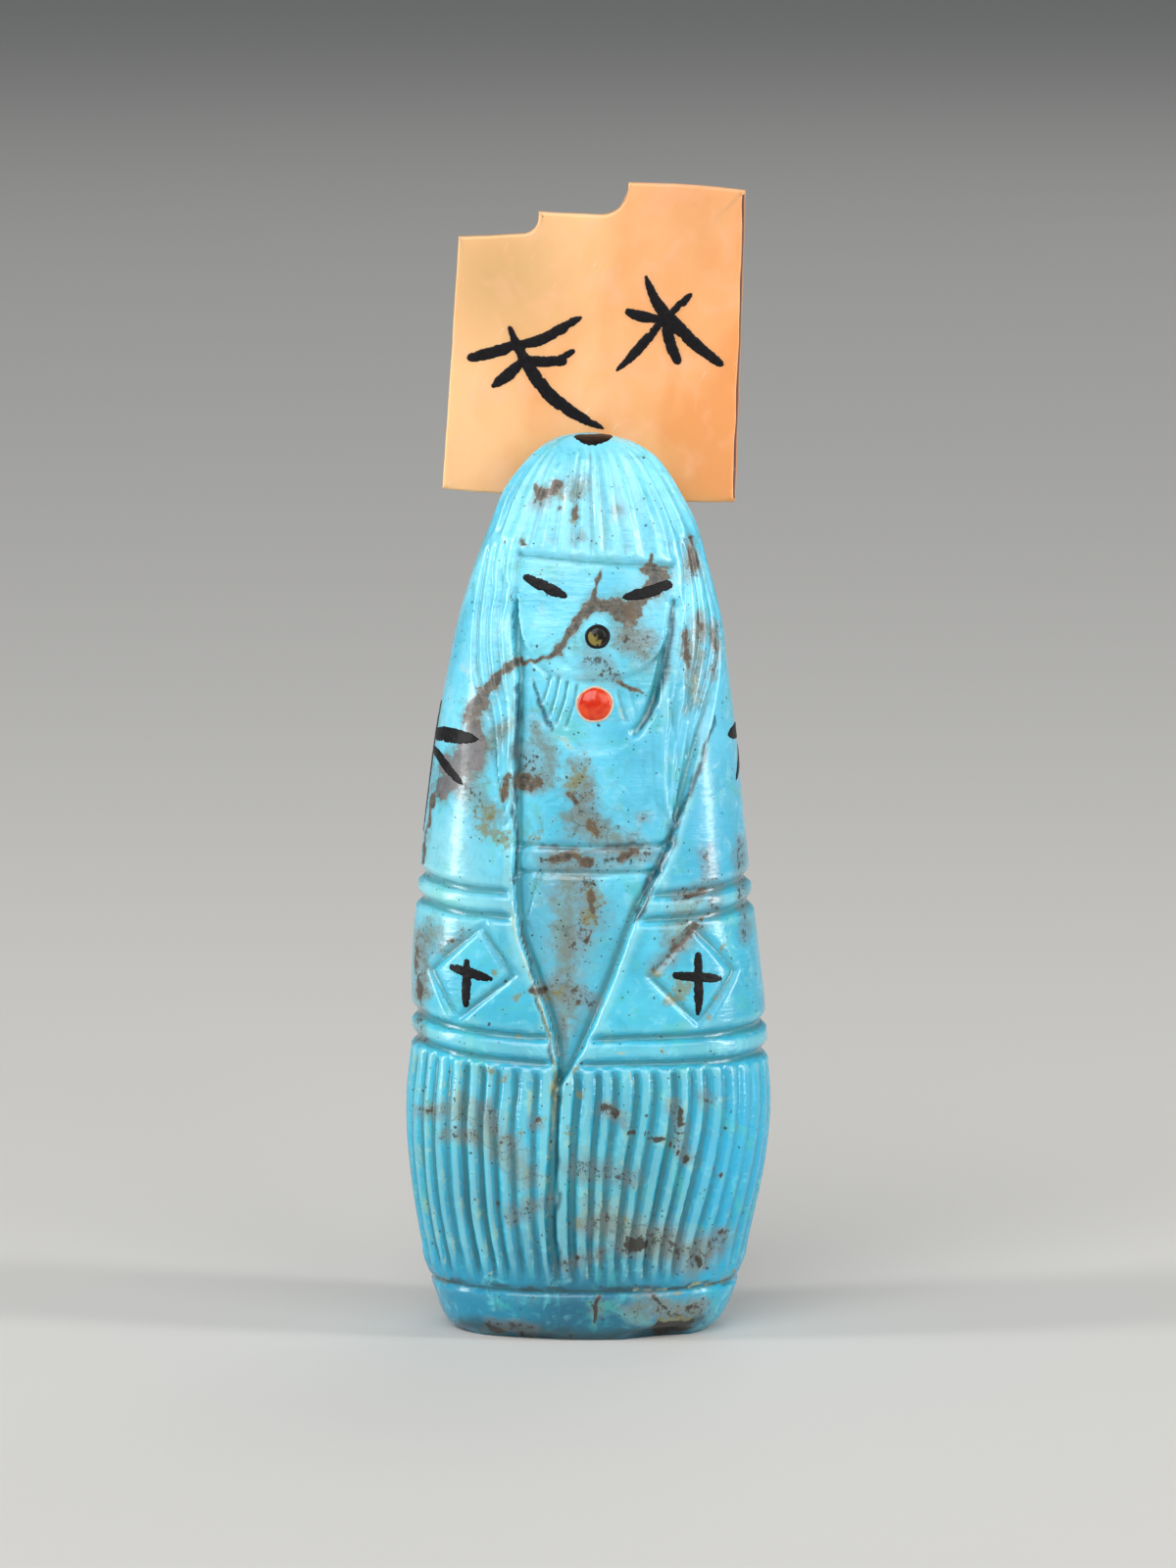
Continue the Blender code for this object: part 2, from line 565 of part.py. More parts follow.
def stroke_mesh(name, surface, points, widths, grow, top, bottom):
    """A tapered stroke: a closed strip between two lifts of a surface, with a low crest.

    The surface gives points from two chart coordinates and a lift. Widths are at the start,
    the middle and the end. Grow is added all round.
    """
    curve = smooth_curve(points, per_span=STROKE_PARTS)
    run = np.concatenate([[0], np.cumsum(np.hypot(*np.diff(curve, axis=0).T))])
    samples = len(points) + (len(points) + 1) // 2
    along = np.linspace(0, run[-1], samples)
    centre = np.stack([np.interp(along, run, curve[:, axis]) for axis in (0, 1)], axis=1)
    ahead = np.gradient(centre, axis=0)
    ahead /= np.linalg.norm(ahead, axis=1, keepdims=True)
    centre[0] -= ahead[0] * grow
    centre[-1] += ahead[-1] * grow
    side = np.stack([-ahead[:, 1], ahead[:, 0]], axis=1)
    middle = np.clip(np.sin(np.pi * along / run[-1]), 0, 1) ** STROKE_FULLNESS
    ends = np.interp(along / run[-1], [0, 1], [widths[0], widths[2]])
    half = (ends + (widths[1] - ends) * middle) / 2 + grow
    lifts = [(1, bottom), (1, top), (0, top + INLAY_RISE), (-1, top), (-1, bottom)]
    ring = [surface(centre + side * half[:, None] * place, lift) for place, lift in lifts]
    rows = np.stack(ring, axis=1)
    size = len(lifts)
    faces = []
    for row in range(samples - 1):
        for place in range(size):
            following = (place + 1) % size
            here = row * size
            there = here + size
            faces.append((here + place, here + following, there + following, there + place))
    last = (samples - 1) * size
    faces.append(tuple(range(size)))
    faces.append(tuple(last + place for place in range(size)))
    return mesh_from(name, rows.reshape(-1, 3), faces)


def plug(name, diameter, bottom, crown, where, material=None):
    """A round plug turned about +Z, from the bottom up to 0 at its rim, with a domed crown."""
    radius = diameter / 2
    angles = [math.pi / 2 * step / PLUG_RINGS for step in range(PLUG_RINGS + 1)]
    profile = [(radius * math.sin(angle), crown * math.cos(angle)) for angle in angles]
    profile += [(radius, bottom), (0, bottom)]
    mesh = bpy.data.meshes.new(name)
    edges = [(step, step + 1) for step in range(len(profile) - 1)]
    mesh.from_pydata([(x, 0, z) for x, z in profile], edges, [])
    made = add_object(name, mesh, where, material)
    turning = made.modifiers.new("Turn", "SCREW")
    turning.steps = PLUG_SIDES
    turning.render_steps = PLUG_SIDES
    turning.use_merge_vertices = True
    turning.merge_threshold = MERGE_DISTANCE
    made.modifiers.new("Triangles", "TRIANGULATE")
    settled(made)
    made.data.shade_smooth()
    made.data.set_sharp_from_angle(angle=SHARP_ANGLE)
    return made


# Chart surfaces for the strokes

def stone_chart(anchor, recess):
    """Strokes near an anchor on the stone, drawn in metres across and up from it."""
    around, up = anchor
    girth = float(half_girth(up * PERCENT * FIGURE_HEIGHT))

    def surface(places, lift):
        across = around + places[:, 0] / girth / PERCENT
        height = up + places[:, 1] / FIGURE_HEIGHT / PERCENT
        return on_stone(across, height, np.full(len(places), lift - recess))

    def chart(points):
        from_anchor = (np.array(points) - anchor) * PERCENT
        return from_anchor * (girth, FIGURE_HEIGHT)

    return surface, chart


def crown_surface(places, lift):
    """The crown of the head seen from above, for a stroke that is cut straight down."""
    squareness = SECTION_SQUARENESS
    depth = FIGURE_DEPTH / FIGURE_WIDTH
    x = np.abs(places[:, 0]) ** squareness
    y = np.abs(places[:, 1] / depth) ** squareness
    width = (x + y) ** (1 / squareness)
    height = np.interp(-width, -WIDTHS[len(WIDTHS) // 2:], HEIGHTS[len(HEIGHTS) // 2:])
    return np.column_stack([places, height + lift])


def tablita_surface(places, lift):
    """The front of the plate in its own frame, lifting towards the viewer."""
    return np.column_stack([places[:, 0], np.full(len(places), -lift), places[:, 1]])


# Pieces

def build_blank(material, where):
    """The carved stone, before the flat, the foot and the sockets are cut."""
    columns = int(2 * GIRTH[-1] * WIDTHS.max() / GRID_PITCH)
    share = np.linspace(-1, 1, columns, endpoint=False)
    rings = int(np.sum(WIDTHS > CROWN_CAP_WIDTH))
    grid = [part[:rings, None] for part in (WIDTHS, WIDTH_STEPS, HEIGHTS, HEIGHT_STEPS)]
    point = carved_surface(share[None, :] + grid[0] * 0, *grid)
    points = np.vstack([point.reshape(-1, 3), [[0, 0, HEIGHTS[0]], [0, 0, FIGURE_HEIGHT]]])
    top = len(points) - 1
    faces = [(column, (column + 1) % columns, top - 1) for column in range(columns)]
    for row in range(rings - 1):
        here = row * columns
        above = here + columns
        for column in range(columns):
            after = (column + 1) % columns
            faces.append((here + column, here + after, above + after, above + column))
    last = (rings - 1) * columns
    faces += [(last + column, last + (column + 1) % columns, top) for column in range(columns)]
    mesh = mesh_from("turquoise_figure", points, faces)
    figure = add_object("turquoise_figure", mesh, where, material)
    thinner = figure.modifiers.new("Fewer faces", "DECIMATE")
    thinner.ratio = FIGURE_TRIANGLES / (2 * rings * columns)
    thinner.use_collapse_triangulate = True
    settled(figure)
    figure.data.shade_smooth()
    figure.data.set_sharp_from_angle(angle=SHARP_ANGLE)
    return figure


def box_cutter(name, low, high, where):
    """A box between two corners, as a cutter."""
    shape = bmesh.new()
    bmesh.ops.create_cube(shape, size=1)
    size = np.subtract(high, low)
    middle = np.add(high, low) / 2
    bmesh.ops.scale(shape, verts=shape.verts, vec=size)
    bmesh.ops.translate(shape, verts=shape.verts, vec=middle)
    mesh = bpy.data.meshes.new(name)
    shape.to_mesh(mesh)
    shape.free()
    return add_object(name, mesh, where)


def build_tablita(material, where):
    """The stepped plate in its own frame: front on Y = 0, lower left corner at the origin."""
    curve = bpy.data.curves.new("shell_tablita", "CURVE")
    curve.dimensions = "2D"
    curve.fill_mode = "BOTH"
    curve.extrude = TABLITA_THICKNESS / 2 - EDGE_BEVEL
    curve.bevel_depth = EDGE_BEVEL
    curve.bevel_resolution = 0
    curve.offset = -EDGE_BEVEL
    first_step = LOWER_TREAD_LENGTH
    second_step = first_step + MIDDLE_TREAD_LENGTH
    middle_tread = LOWER_TREAD + FIRST_STEP_RISE
    top = middle_tread + SECOND_STEP_RISE
    outline = [(0, 0), (TABLITA_WIDTH, 0), (TABLITA_WIDTH - SIDE_TAPER, top), (second_step, top)]
    outline += step_fillet(second_step, middle_tread, SECOND_STEP_RADIUS)
    outline.append((first_step, middle_tread))
    outline += step_fillet(first_step, LOWER_TREAD, FIRST_STEP_RADIUS)
    outline.append((SIDE_TAPER, LOWER_TREAD - LOWER_TREAD_FALL))
    spline = curve.splines.new("POLY")
    spline.points.add(len(outline) - 1)
    spline.use_cyclic_u = True
    for point, place in zip(spline.points, outline):
        point.co = (*place, 0, 1)
    flat = bpy.data.objects.new("flat_outline", curve)
    where.objects.link(flat)
    graph = bpy.context.evaluated_depsgraph_get()
    mesh = bpy.data.meshes.new_from_object(flat.evaluated_get(graph))
    forward = Matrix.Translation((0, TABLITA_THICKNESS / 2, 0))
    mesh.transform(forward @ Matrix.Rotation(math.pi / 2, 4, "X"))
    bpy.data.objects.remove(flat)
    shape = bmesh.new()
    shape.from_mesh(mesh)
    bmesh.ops.remove_doubles(shape, verts=shape.verts, dist=MERGE_DISTANCE)
    shape.to_mesh(mesh)
    shape.free()
    return add_object("shell_tablita", mesh, where, material)


def step_fillet(corner, tread, radius):
    """The hollow corner of a step, from its riser down on to the tread to its left."""
    angles = [math.pi / 2 * part / FILLET_PARTS for part in range(FILLET_PARTS + 1)]
    x = corner - radius
    y = tread + radius
    return [(x + radius * math.cos(angle), y - radius * math.sin(angle)) for angle in angles]


def tablita_frame(where):
    """An empty at the plate's lower left front corner, leaning with it."""
    lean = math.radians(TABLITA_TILT)
    corner_height = FIGURE_HEIGHT - TABLITA_DROP
    middle_height = corner_height + TABLITA_LEFT * math.tan(lean)
    back = float(np.interp(middle_height, HEIGHTS, WIDTHS)) * FIGURE_DEPTH / FIGURE_WIDTH
    front = back - TABLITA_BACK_INSET - TABLITA_THICKNESS
    made = bpy.data.objects.new("tablita_frame", None)
    where.objects.link(made)
    made.location = (TABLITA_LEFT, front, corner_height)
    made.rotation_euler = (0, lean, 0)
    return made


def stroke_objects(name, surface, strokes, grow, top, bottom, where, material=None):
    """Strokes that may cross, each a step taller and deeper than the one before."""
    made = []
    for number, (points, widths) in enumerate(strokes):
        label = f"{name}_{number}"
        step = number * CROSSING_STEP
        mesh = stroke_mesh(label, surface, points, widths, grow, top + step, bottom - step)
        made.append(add_object(label, mesh, where, material))
    return made


def set_inlay(name, surface, strokes, depth, material, parts, cutters):
    """Lays the tools of some strokes among the cutters and sets their inlay; returns them all."""
    tools = stroke_objects(
        f"{name}_socket", surface, strokes, GLUE_GAP, CUTTER_RISE, -depth, cutters)
    inlay, *others = stroke_objects(
        name, surface, strokes, 0, 0, GLUE_GAP - depth, parts, material)
    if others:
        crossing = collection(f"{name}_crossing", cutters)
        for other in others:
            parts.objects.unlink(other)
            crossing.objects.link(other)
        boolean(inlay, crossing, "UNION")
        settled(inlay)
        for other in others:
            bpy.data.objects.remove(other)
        bpy.data.collections.remove(crossing)
    inlay.name = name
    return [inlay, *tools]


def set_on_chart(name, strokes, recess, material, parts, cutters):
    """Sets an inlay whose strokes are drawn on the chart: points in percent, then widths."""
    surface, chart = stone_chart(strokes[0][0][0], recess)
    strokes = [(chart(points), widths) for points, widths in strokes]
    set_inlay(name, surface, strokes, INLAY_DEPTH, material, parts, cutters)


def set_drilled(name, place, diameter, recess, crown, material, parts, cutters):
    """Lays a round drill among the cutters and sets its plug."""
    base, tip = on_stone([place[0]] * 2, [place[1]] * 2, np.array([-recess, 0]))
    turn = Vector(tip - base).to_track_quat("Z", "Y").to_euler()
    socket = plug(f"{name}_socket", diameter + 2 * GLUE_GAP, -DRILLED_DEPTH, CUTTER_RISE, cutters)
    set_plug = plug(name, diameter, GLUE_GAP - DRILLED_DEPTH, crown, parts, material)
    for made in (socket, set_plug):
        made.location = base
        made.rotation_euler = turn


def dragonfly(around, side):
    """Strokes of a dragonfly on an arm: body, then a pair of wings before and behind it."""
    tail = (DRAGONFLY_TAIL_WIDTH, DRAGONFLY_TAIL_WIDTH, DRAGONFLY_TIP_WIDTH)
    strokes = [([(around + side * x, y) for x, y in DRAGONFLY_BODY], tail)]
    for wing, width in DRAGONFLY_WINGS:
        for way in (-side, side):
            points = [(around + way * x, y) for x, y in wing]
            strokes.append((points, (width * WING_ROOT_SHARE, width, DRAGONFLY_TIP_WIDTH)))
    return strokes


def main():
    for old in list(bpy.data.objects):
        bpy.data.objects.remove(old)
    parts = collection(SUBJECT)
    cutters = collection("cutters")
    turquoise, shell, coral, jet, mouth_stone = (
        finish(*look) for look in (TURQUOISE, SHELL, CORAL, JET, MOUTH_STONE))

    figure = build_blank(turquoise, parts)
    figure_cutters = collection("figure_cutters", cutters)
    room = 2 * FIGURE_WIDTH
    box_cutter("ground_off", (-room, -room, -room), (room, room, 0), figure_cutters)

    frame = tablita_frame(parts)
    tablita = build_tablita(shell, parts)
    tablita_cutters = collection("tablita_cutters", cutters)
    flat = box_cutter(
        "flat_behind_head", (-room, -GLUE_GAP, -GLUE_GAP), (room, room, room), figure_cutters)
    framed = [tablita, flat]
    for name, strokes in TABLITA_STROKES.items():
        strokes = [
            (np.array(points) * STROKE_UNIT, np.array(widths) * STROKE_UNIT)
            for points, widths in strokes]
        framed += set_inlay(
            name, tablita_surface, strokes, TABLITA_INLAY_DEPTH, jet, parts, tablita_cutters)
    for made in framed:
        made.parent = frame

    for name, points in EYES.items():
        strokes = [(points, (EYE_END_WIDTH, EYE_WIDTH, EYE_END_WIDTH))]
        set_on_chart(name, strokes, FACE_RECESS, jet, parts, figure_cutters)
    for name, lines in CROSSES.items():
        strokes = [(points, (CROSS_END_WIDTH, CROSS_WIDTH, CROSS_END_WIDTH)) for points in lines]
        set_on_chart(name, strokes, 0, jet, parts, figure_cutters)
    dragonflies = {
        "dragonfly_inlay_left": dragonfly(-DRAGONFLY_LEFT_AT, -1),
        "dragonfly_inlay_right": dragonfly(DRAGONFLY_RIGHT_AT, 1),
    }
    for name, strokes in dragonflies.items():
        set_on_chart(name, strokes, 0, jet, parts, figure_cutters)
    x, y = CROWN_PLACE
    crown = [(x - CROWN_HALF_LENGTH, y), (x, y), (x + CROWN_HALF_LENGTH, y)]
    widths = (CROWN_END_WIDTH, 2 * CROWN_HALF_WIDTH, CROWN_END_WIDTH)
    set_inlay(
        "crown_inlay", crown_surface, [(crown, widths)], INLAY_DEPTH, jet, parts, figure_cutters)

    set_drilled(
        "coral_pendant", CORAL_PLACE, CORAL_DIAMETER, COLLAR_RECESS, CORAL_CROWN,
        coral, parts, figure_cutters)
    set_drilled(
        "mouth_inlay", MOUTH_PLACE, MOUTH_DIAMETER, FACE_RECESS, MOUTH_CROWN,
        mouth_stone, parts, figure_cutters)

    boolean(figure, figure_cutters)
    boolean(tablita, tablita_cutters)


main()
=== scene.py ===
# %% [markdown]
# # A turquoise maiden with a shell plate
#
# The carving is one block of polished turquoise, as tall as a thumb. Black stone is set into
# it, a coral dot hangs at the throat, and a thin plate of shell is glued behind the head. The
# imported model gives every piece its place. This lesson builds the polished surfaces that stand
# for its plain solids, and the stone, shell and coral that they are made of.

# %% Load the frame
import math

import bpy
import numpy as np
from mathutils import Matrix, Vector
from mathutils.geometry import delaunay_2d_cdt


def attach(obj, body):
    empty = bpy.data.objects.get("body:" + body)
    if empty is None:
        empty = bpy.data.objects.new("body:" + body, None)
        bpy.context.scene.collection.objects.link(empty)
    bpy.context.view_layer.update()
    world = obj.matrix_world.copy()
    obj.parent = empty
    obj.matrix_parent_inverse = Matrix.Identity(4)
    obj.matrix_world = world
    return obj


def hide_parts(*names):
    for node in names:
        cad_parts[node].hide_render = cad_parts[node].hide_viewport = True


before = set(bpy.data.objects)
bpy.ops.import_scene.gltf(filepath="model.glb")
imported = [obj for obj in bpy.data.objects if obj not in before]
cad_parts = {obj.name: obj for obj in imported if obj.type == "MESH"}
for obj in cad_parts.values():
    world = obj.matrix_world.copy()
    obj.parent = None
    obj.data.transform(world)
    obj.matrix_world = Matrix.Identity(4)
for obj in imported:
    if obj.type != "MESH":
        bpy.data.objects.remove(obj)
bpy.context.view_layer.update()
MM = 0.001
PERCENT = 0.01

# %% [markdown]
# The camera stands in front of the face and a little above it. A long lens far away keeps the
# carving free of perspective. The same camera is used as a ruler: marks that were read off a
# flat picture of the front can be laid on the stone where the camera sees them.

# %% Camera
LENS_MM = 170
SENSOR_MM = 36
FRAME_WIDTH, FRAME_HEIGHT = 1200, 1600
CAMERA_DISTANCE = 520 * MM
CAMERA_RISE = math.radians(7.5)
AIM_HEIGHT = 38.5 * MM
PICTURE_STEP = CAMERA_DISTANCE * SENSOR_MM / LENS_MM / FRAME_HEIGHT

AHEAD = np.array([0, math.cos(CAMERA_RISE), -math.sin(CAMERA_RISE)])
UPWARD = np.array([0, math.sin(CAMERA_RISE), math.cos(CAMERA_RISE)])

camera_data = bpy.data.cameras.new("camera")
camera_data.lens = LENS_MM
camera_data.sensor_fit = "VERTICAL"
camera_data.sensor_height = SENSOR_MM
camera_data.sensor_width = SENSOR_MM * FRAME_WIDTH / FRAME_HEIGHT
camera_data.clip_start = 10 * MM
camera = bpy.data.objects.new("camera", camera_data)
bpy.context.scene.collection.objects.link(camera)
camera.location = Vector((0, 0, AIM_HEIGHT)) - Vector(AHEAD) * CAMERA_DISTANCE
camera.rotation_euler = Vector(AHEAD).to_track_quat("-Z", "Y").to_euler()
bpy.context.scene.camera = camera


def on_picture(points):
    """Where the camera sees points: steps across from the left and down from the top."""
    offset = points - (0, 0, AIM_HEIGHT)
    scale = CAMERA_DISTANCE / (CAMERA_DISTANCE + offset @ AHEAD) / PICTURE_STEP
    return FRAME_WIDTH / 2 + offset[..., 0] * scale, FRAME_HEIGHT / 2 - offset @ UPWARD * scale


print("one picture step in mm:", round(PICTURE_STEP / MM, 4))

# %% [markdown]
# Hand carving is never quite regular. A lattice of random numbers, blended smoothly between
# its points, gives a wobble of any size in millimetres. It is seeded, so each run makes the
# same stone.

# %% Wobble
LATTICE = 32


def wobble(points, size, seed):
    """Smooth random values from -1 to 1 at 3-D points, changing over a size in metres."""
    table = np.random.default_rng(seed).uniform(-1, 1, (LATTICE,) * 3)
    place = points / size
    cell = np.floor(place).astype(int)
    part = place - cell
    part = part * part * (3 - 2 * part)
    total = np.zeros(points.shape[:-1])
    for corner in np.ndindex(2, 2, 2):
        weight = np.prod(np.where(corner, part, 1 - part), axis=-1)
        index = (cell + corner) % LATTICE
        total += weight * table[index[..., 0], index[..., 1], index[..., 2]]
    return total


print("numbers in the lattice:", LATTICE**3)

# %% [markdown]
# Outlines and edges are drawn with a few knots each, and a smooth curve runs through them. A
# ramp goes from 0 to 1 across a line without a kink, so an edge that is cut with it comes out
# rubbed soft.

# %% Curves and ramps


def smooth_curve(knots, per_span=24):
    """Points of a smooth curve through the knots, one row each."""
    knots = np.array(knots, float)
    padded = np.vstack([2 * knots[0] - knots[1], knots, 2 * knots[-1] - knots[-2]])
    steps = np.linspace(0, 1, per_span, endpoint=False)[:, None]
    spans = []
    for before, start, end, after in zip(padded, padded[1:], padded[2:], padded[3:]):
        slope = end - before
        bend = 2 * before - 5 * start + 4 * end - after
        turn = 3 * start - before - 3 * end + after
        spans.append(0.5 * (2 * start + slope * steps + bend * steps**2 + turn * steps**3))
    return np.vstack(spans + [knots[-1:]])


def ramp(distance, width):
    """0 to 1 as the distance passes from one side of a line to the other."""
    share = np.clip(0.5 + distance / width, 0, 1)
    return share * share * (3 - 2 * share)


print("a ramp, a quarter of its width past the line:", round(float(ramp(0.25, 1)), 3))

# %% [markdown]
# A wheel leaves one of three sections. A round-faced wheel leaves a hollow, a sharp one leaves
# a V, and one that is held at a slant leaves a steep wall on one side. Lines that are cut one
# beside the next are never evenly spaced or equally deep.

# %% Sections of a cut
V_ROUNDNESS = 0.03
LINE_STRENGTHS = (0.7, 1.2)


def round_cut(distance, width):
    """Section of a round-bottomed cut, 1 on its line and 0 at its edges."""
    return np.clip(1 - (2 * distance / width) ** 2, 0, 1)


def v_cut(distance, width):
    """Section of a V cut with a slightly rounded bottom."""
    across = np.clip(np.abs(2 * distance / width), 0, 1)
    return 1 - np.sqrt(across**2 * (1 - V_ROUNDNESS) + V_ROUNDNESS)


def edge_cut(distance, steep, gentle):
    """Section of a cut that drops steeply at an edge and rises gently away from it."""
    return ramp(distance - steep / 2, steep) * np.clip(1 - (distance - steep) / gentle, 0, 1) ** 2


def uneven_lines(place, count, spread, seed):
    """Shifts numbered lines apart and together, and gives each its own strength."""
    random = np.random.default_rng(seed)
    shifts = random.uniform(-spread, spread, count)
    strengths = random.uniform(*LINE_STRENGTHS, count)
    numbers = np.arange(-count, 2 * count)
    place = np.interp(place, numbers + shifts[numbers % count], numbers)
    return place, strengths[np.round(place).astype(int) % count]


print("bottom of a V cut, as a share of its depth:", round(float(v_cut(0, 1)), 2))

# %% [markdown]
# Marks and small cuts are drawn as the camera sees them, as lines of picture steps. A facet
# needs the distance to one side of its line. A mark needs the distance inside a chain of
# discs, which can swell and shrink on its way.

# %% Distances to drawn lines


def side_of(across, down, line):
    """Distance to the left of a line of picture steps, negative to its right."""
    best = np.full(np.shape(across), np.inf)
    signed = np.zeros(np.shape(across))
    for (x0, y0), (x1, y1) in zip(line, line[1:]):
        run_x, run_y = x1 - x0, y1 - y0
        length = math.hypot(run_x, run_y)
        along = np.clip(((across - x0) * run_x + (down - y0) * run_y) / length**2, 0, 1)
        distance = np.hypot(across - x0 - along * run_x, down - y0 - along * run_y)
        side = (across - x0) * run_y - (down - y0) * run_x
        nearer = distance < best
        best = np.where(nearer, distance, best)
        signed = np.where(nearer, np.where(side > 0, -distance, distance), signed)
    return signed


def chain_field(across, up, chain):
    """1 on a chain of discs given as (across, up, radius), 0 at its edge and -1 far off."""
    best = np.full(np.shape(across), -1.0)
    for (x0, y0, r0), (x1, y1, r1) in zip(chain, chain[1:] or chain):
        run = (x1 - x0, y1 - y0)
        length = max(run[0] ** 2 + run[1] ** 2, 1e-12)
        along = np.clip(((across - x0) * run[0] + (up - y0) * run[1]) / length, 0, 1)
        distance = np.hypot(across - x0 - along * run[0], up - y0 - along * run[1])
        best = np.maximum(best, 1 - distance / (r0 + (r1 - r0) * along))
    return best


print("halfway out of one disc:", float(chain_field(0.5, 0.0, [(0.0, 0.0, 1.0)])))

# %% [markdown]
# The stone was sawn and rubbed to a rounded-oval section before any line was cut. Its surface
# is laid out like a chart: how far round a point lies, as a share of half the girth from the
# front, and how high. A point on the chart then has a place and a direction in space.

# %% The rubbed stone
FIGURE_HEIGHT = 63.3 * MM
FIGURE_WIDTH = 25.76 * MM
FIGURE_DEPTH = 17.57 * MM
SECTION_SQUARENESS = 2.35
SECTION_POINTS = 1441
OUTLINE_STEPS = 2000
OUTLINE = [
    (66.0, -1.8), (71.0, 0.0), (79.3, 2.5), (88.9, 9.3), (97.1, 17.7), (100.0, 25.1),
    (96.7, 33.0), (91.7, 46.9), (82.6, 64.1), (77.0, 73.1), (72.5, 78.3), (65.1, 84.1),
    (57.2, 89.0), (49.3, 92.7), (41.0, 95.5), (30.9, 97.8), (17.0, 99.4), (0.0, 100.0),
]


def height_of(percent):
    """Height in metres of a place on the chart."""
    return percent * PERCENT * FIGURE_HEIGHT


def section_table():
    """Half of the rounded-oval section for a half width of 1: girth, x and y."""
    angle = np.linspace(0, math.pi, SECTION_POINTS)
    depth = FIGURE_DEPTH / FIGURE_WIDTH
    sine = np.abs(np.sin(angle)) ** SECTION_SQUARENESS
    cosine = np.abs(np.cos(angle) / depth) ** SECTION_SQUARENESS
    radius = (sine + cosine) ** (-1 / SECTION_SQUARENESS)
    x = radius * np.sin(angle)
    y = -radius * np.cos(angle)
    girth = np.concatenate([[0], np.cumsum(np.hypot(np.diff(x), np.diff(y)))])
    return girth, x, y


def outline_table():
    """Half width, height and direction of the outline, evenly spaced up from the foot."""
    curve = smooth_curve(OUTLINE) * PERCENT * (FIGURE_WIDTH / 2, FIGURE_HEIGHT)
    run = np.concatenate([[0], np.cumsum(np.hypot(*np.diff(curve, axis=0).T))])
    start = np.interp(0, curve[:, 1], run)
    even = np.linspace(start, run[-1], OUTLINE_STEPS)
    width = np.interp(even, run, curve[:, 0])
    height = np.maximum.accumulate(np.interp(even, run, curve[:, 1]))
    return even - start, width, height, np.gradient(width), np.gradient(height)


GIRTH, SECTION_X, SECTION_Y = section_table()
RUN, WIDTHS, HEIGHTS, WIDTH_STEPS, HEIGHT_STEPS = outline_table()
print("outline run in mm:", round(RUN[-1] / MM, 1))
print("half girth in mm:", round(GIRTH[-1] * FIGURE_WIDTH / 2 / MM, 1))

# %% [markdown]
# A real block isn't quite symmetrical. Each side stands out or falls back by a few tenths of a
# millimetre along its height, and that is added to the even block. The direction of the
# surface comes from the section and the outline, because every cut goes in square to it.

# %% Uneven sides
# Height in mm, and how far the left and the right side stand out from a symmetrical block.
UNEVEN_SIDES = [
    (0, 0.42, -0.38), (1, 0.38, -0.3), (2.5, 0.3, -0.2), (4.2, 0.46, -0.12), (5, 0.52, 0),
    (6, 0.36, -0.12), (7.5, 0.25, -0.17), (9.5, 0.18, -0.13), (12, 0.06, -0.05), (15, 0, 0.02),
    (18, 0, 0.06), (20.5, 0, 0.18), (22.5, 0.1, 0.2), (24.5, 0.24, 0.14), (27.5, 0.36, 0),
    (32, 0.37, -0.14), (37, 0.33, -0.13), (43, 0.2, -0.03), (47, 0, 0), (50, -0.07, 0.2),
    (54, -0.2, 0.28), (57, -0.28, 0.46), (59, -0.1, 0.36), (61.5, -0.25, 0.4), (62.6, -0.12, 0.2),
    (63.0, 0, 0), (64, 0, 0),
]
side_curve = smooth_curve(UNEVEN_SIDES) * MM


def stand_out(side, height):
    """How far a side of the block stands out at a height."""
    left = np.interp(height, side_curve[:, 0], side_curve[:, 1])
    right = np.interp(height, side_curve[:, 0], side_curve[:, 2])
    return np.where(side < 0, left, right)


def blank_surface(share, width, width_step, height, height_step):
    """Point and normal of the rubbed stone, share from -1 (back) by 0 (front) to 1."""
    reach = np.abs(share) * GIRTH[-1]
    side = np.sign(share)
    x = np.interp(reach, GIRTH, SECTION_X)
    y = np.interp(reach, GIRTH, SECTION_Y)
    depth = FIGURE_DEPTH / FIGURE_WIDTH
    power = SECTION_SQUARENESS - 1
    normal = np.stack([
        side * x**power * height_step,
        np.sign(y) * np.abs(y / depth) ** power / depth * height_step,
        -width_step * np.ones_like(x),
    ], axis=-1)
    normal /= np.linalg.norm(normal, axis=-1, keepdims=True)
    across = side * (x * width + stand_out(side, height) * x**3)
    return np.stack([across, y * width, height * np.ones_like(x)], axis=-1), normal


print("most that a side stands out in mm:", round(float(side_curve[:, 1:].max()) / MM, 2))

# %% [markdown]
# The carving is cut into that surface with small wheels. The shawl opens in a long V over the
# dress. Its two edges are curves on the chart, in percent round and percent up.

# %% Edges of the shawl
LEFT_EDGE = [
    (-24.0, 86.0), (-23.0, 83.2), (-22.3, 80.3), (-20.9, 77.0), (-19.2, 73.9), (-18.5, 67.4),
    (-17.7, 59.7), (-16.3, 48.3), (-12.1, 41.4), (-8.2, 35.7), (-6.3, 30.0), (-6.9, 23.7),
    (-7.8, 12.9), (-7.3, 5.8),
]
RIGHT_EDGE = [
    (27.9, 86.0), (23.4, 80.0), (19.6, 73.9), (18.2, 67.4), (18.2, 60.3), (20.6, 57.6),
    (18.2, 54.3), (12.6, 49.3), (9.3, 45.8), (5.1, 40.3), (-2.0, 32.2), (-5.4, 29.5),
    (-12.0, 27.0),
]


def edge_at(curve, height):
    """Where an edge runs at a height, as a share of half the girth."""
    points = smooth_curve(curve)[::-1] * PERCENT
    return np.interp(height, points[:, 1] * FIGURE_HEIGHT, points[:, 0])


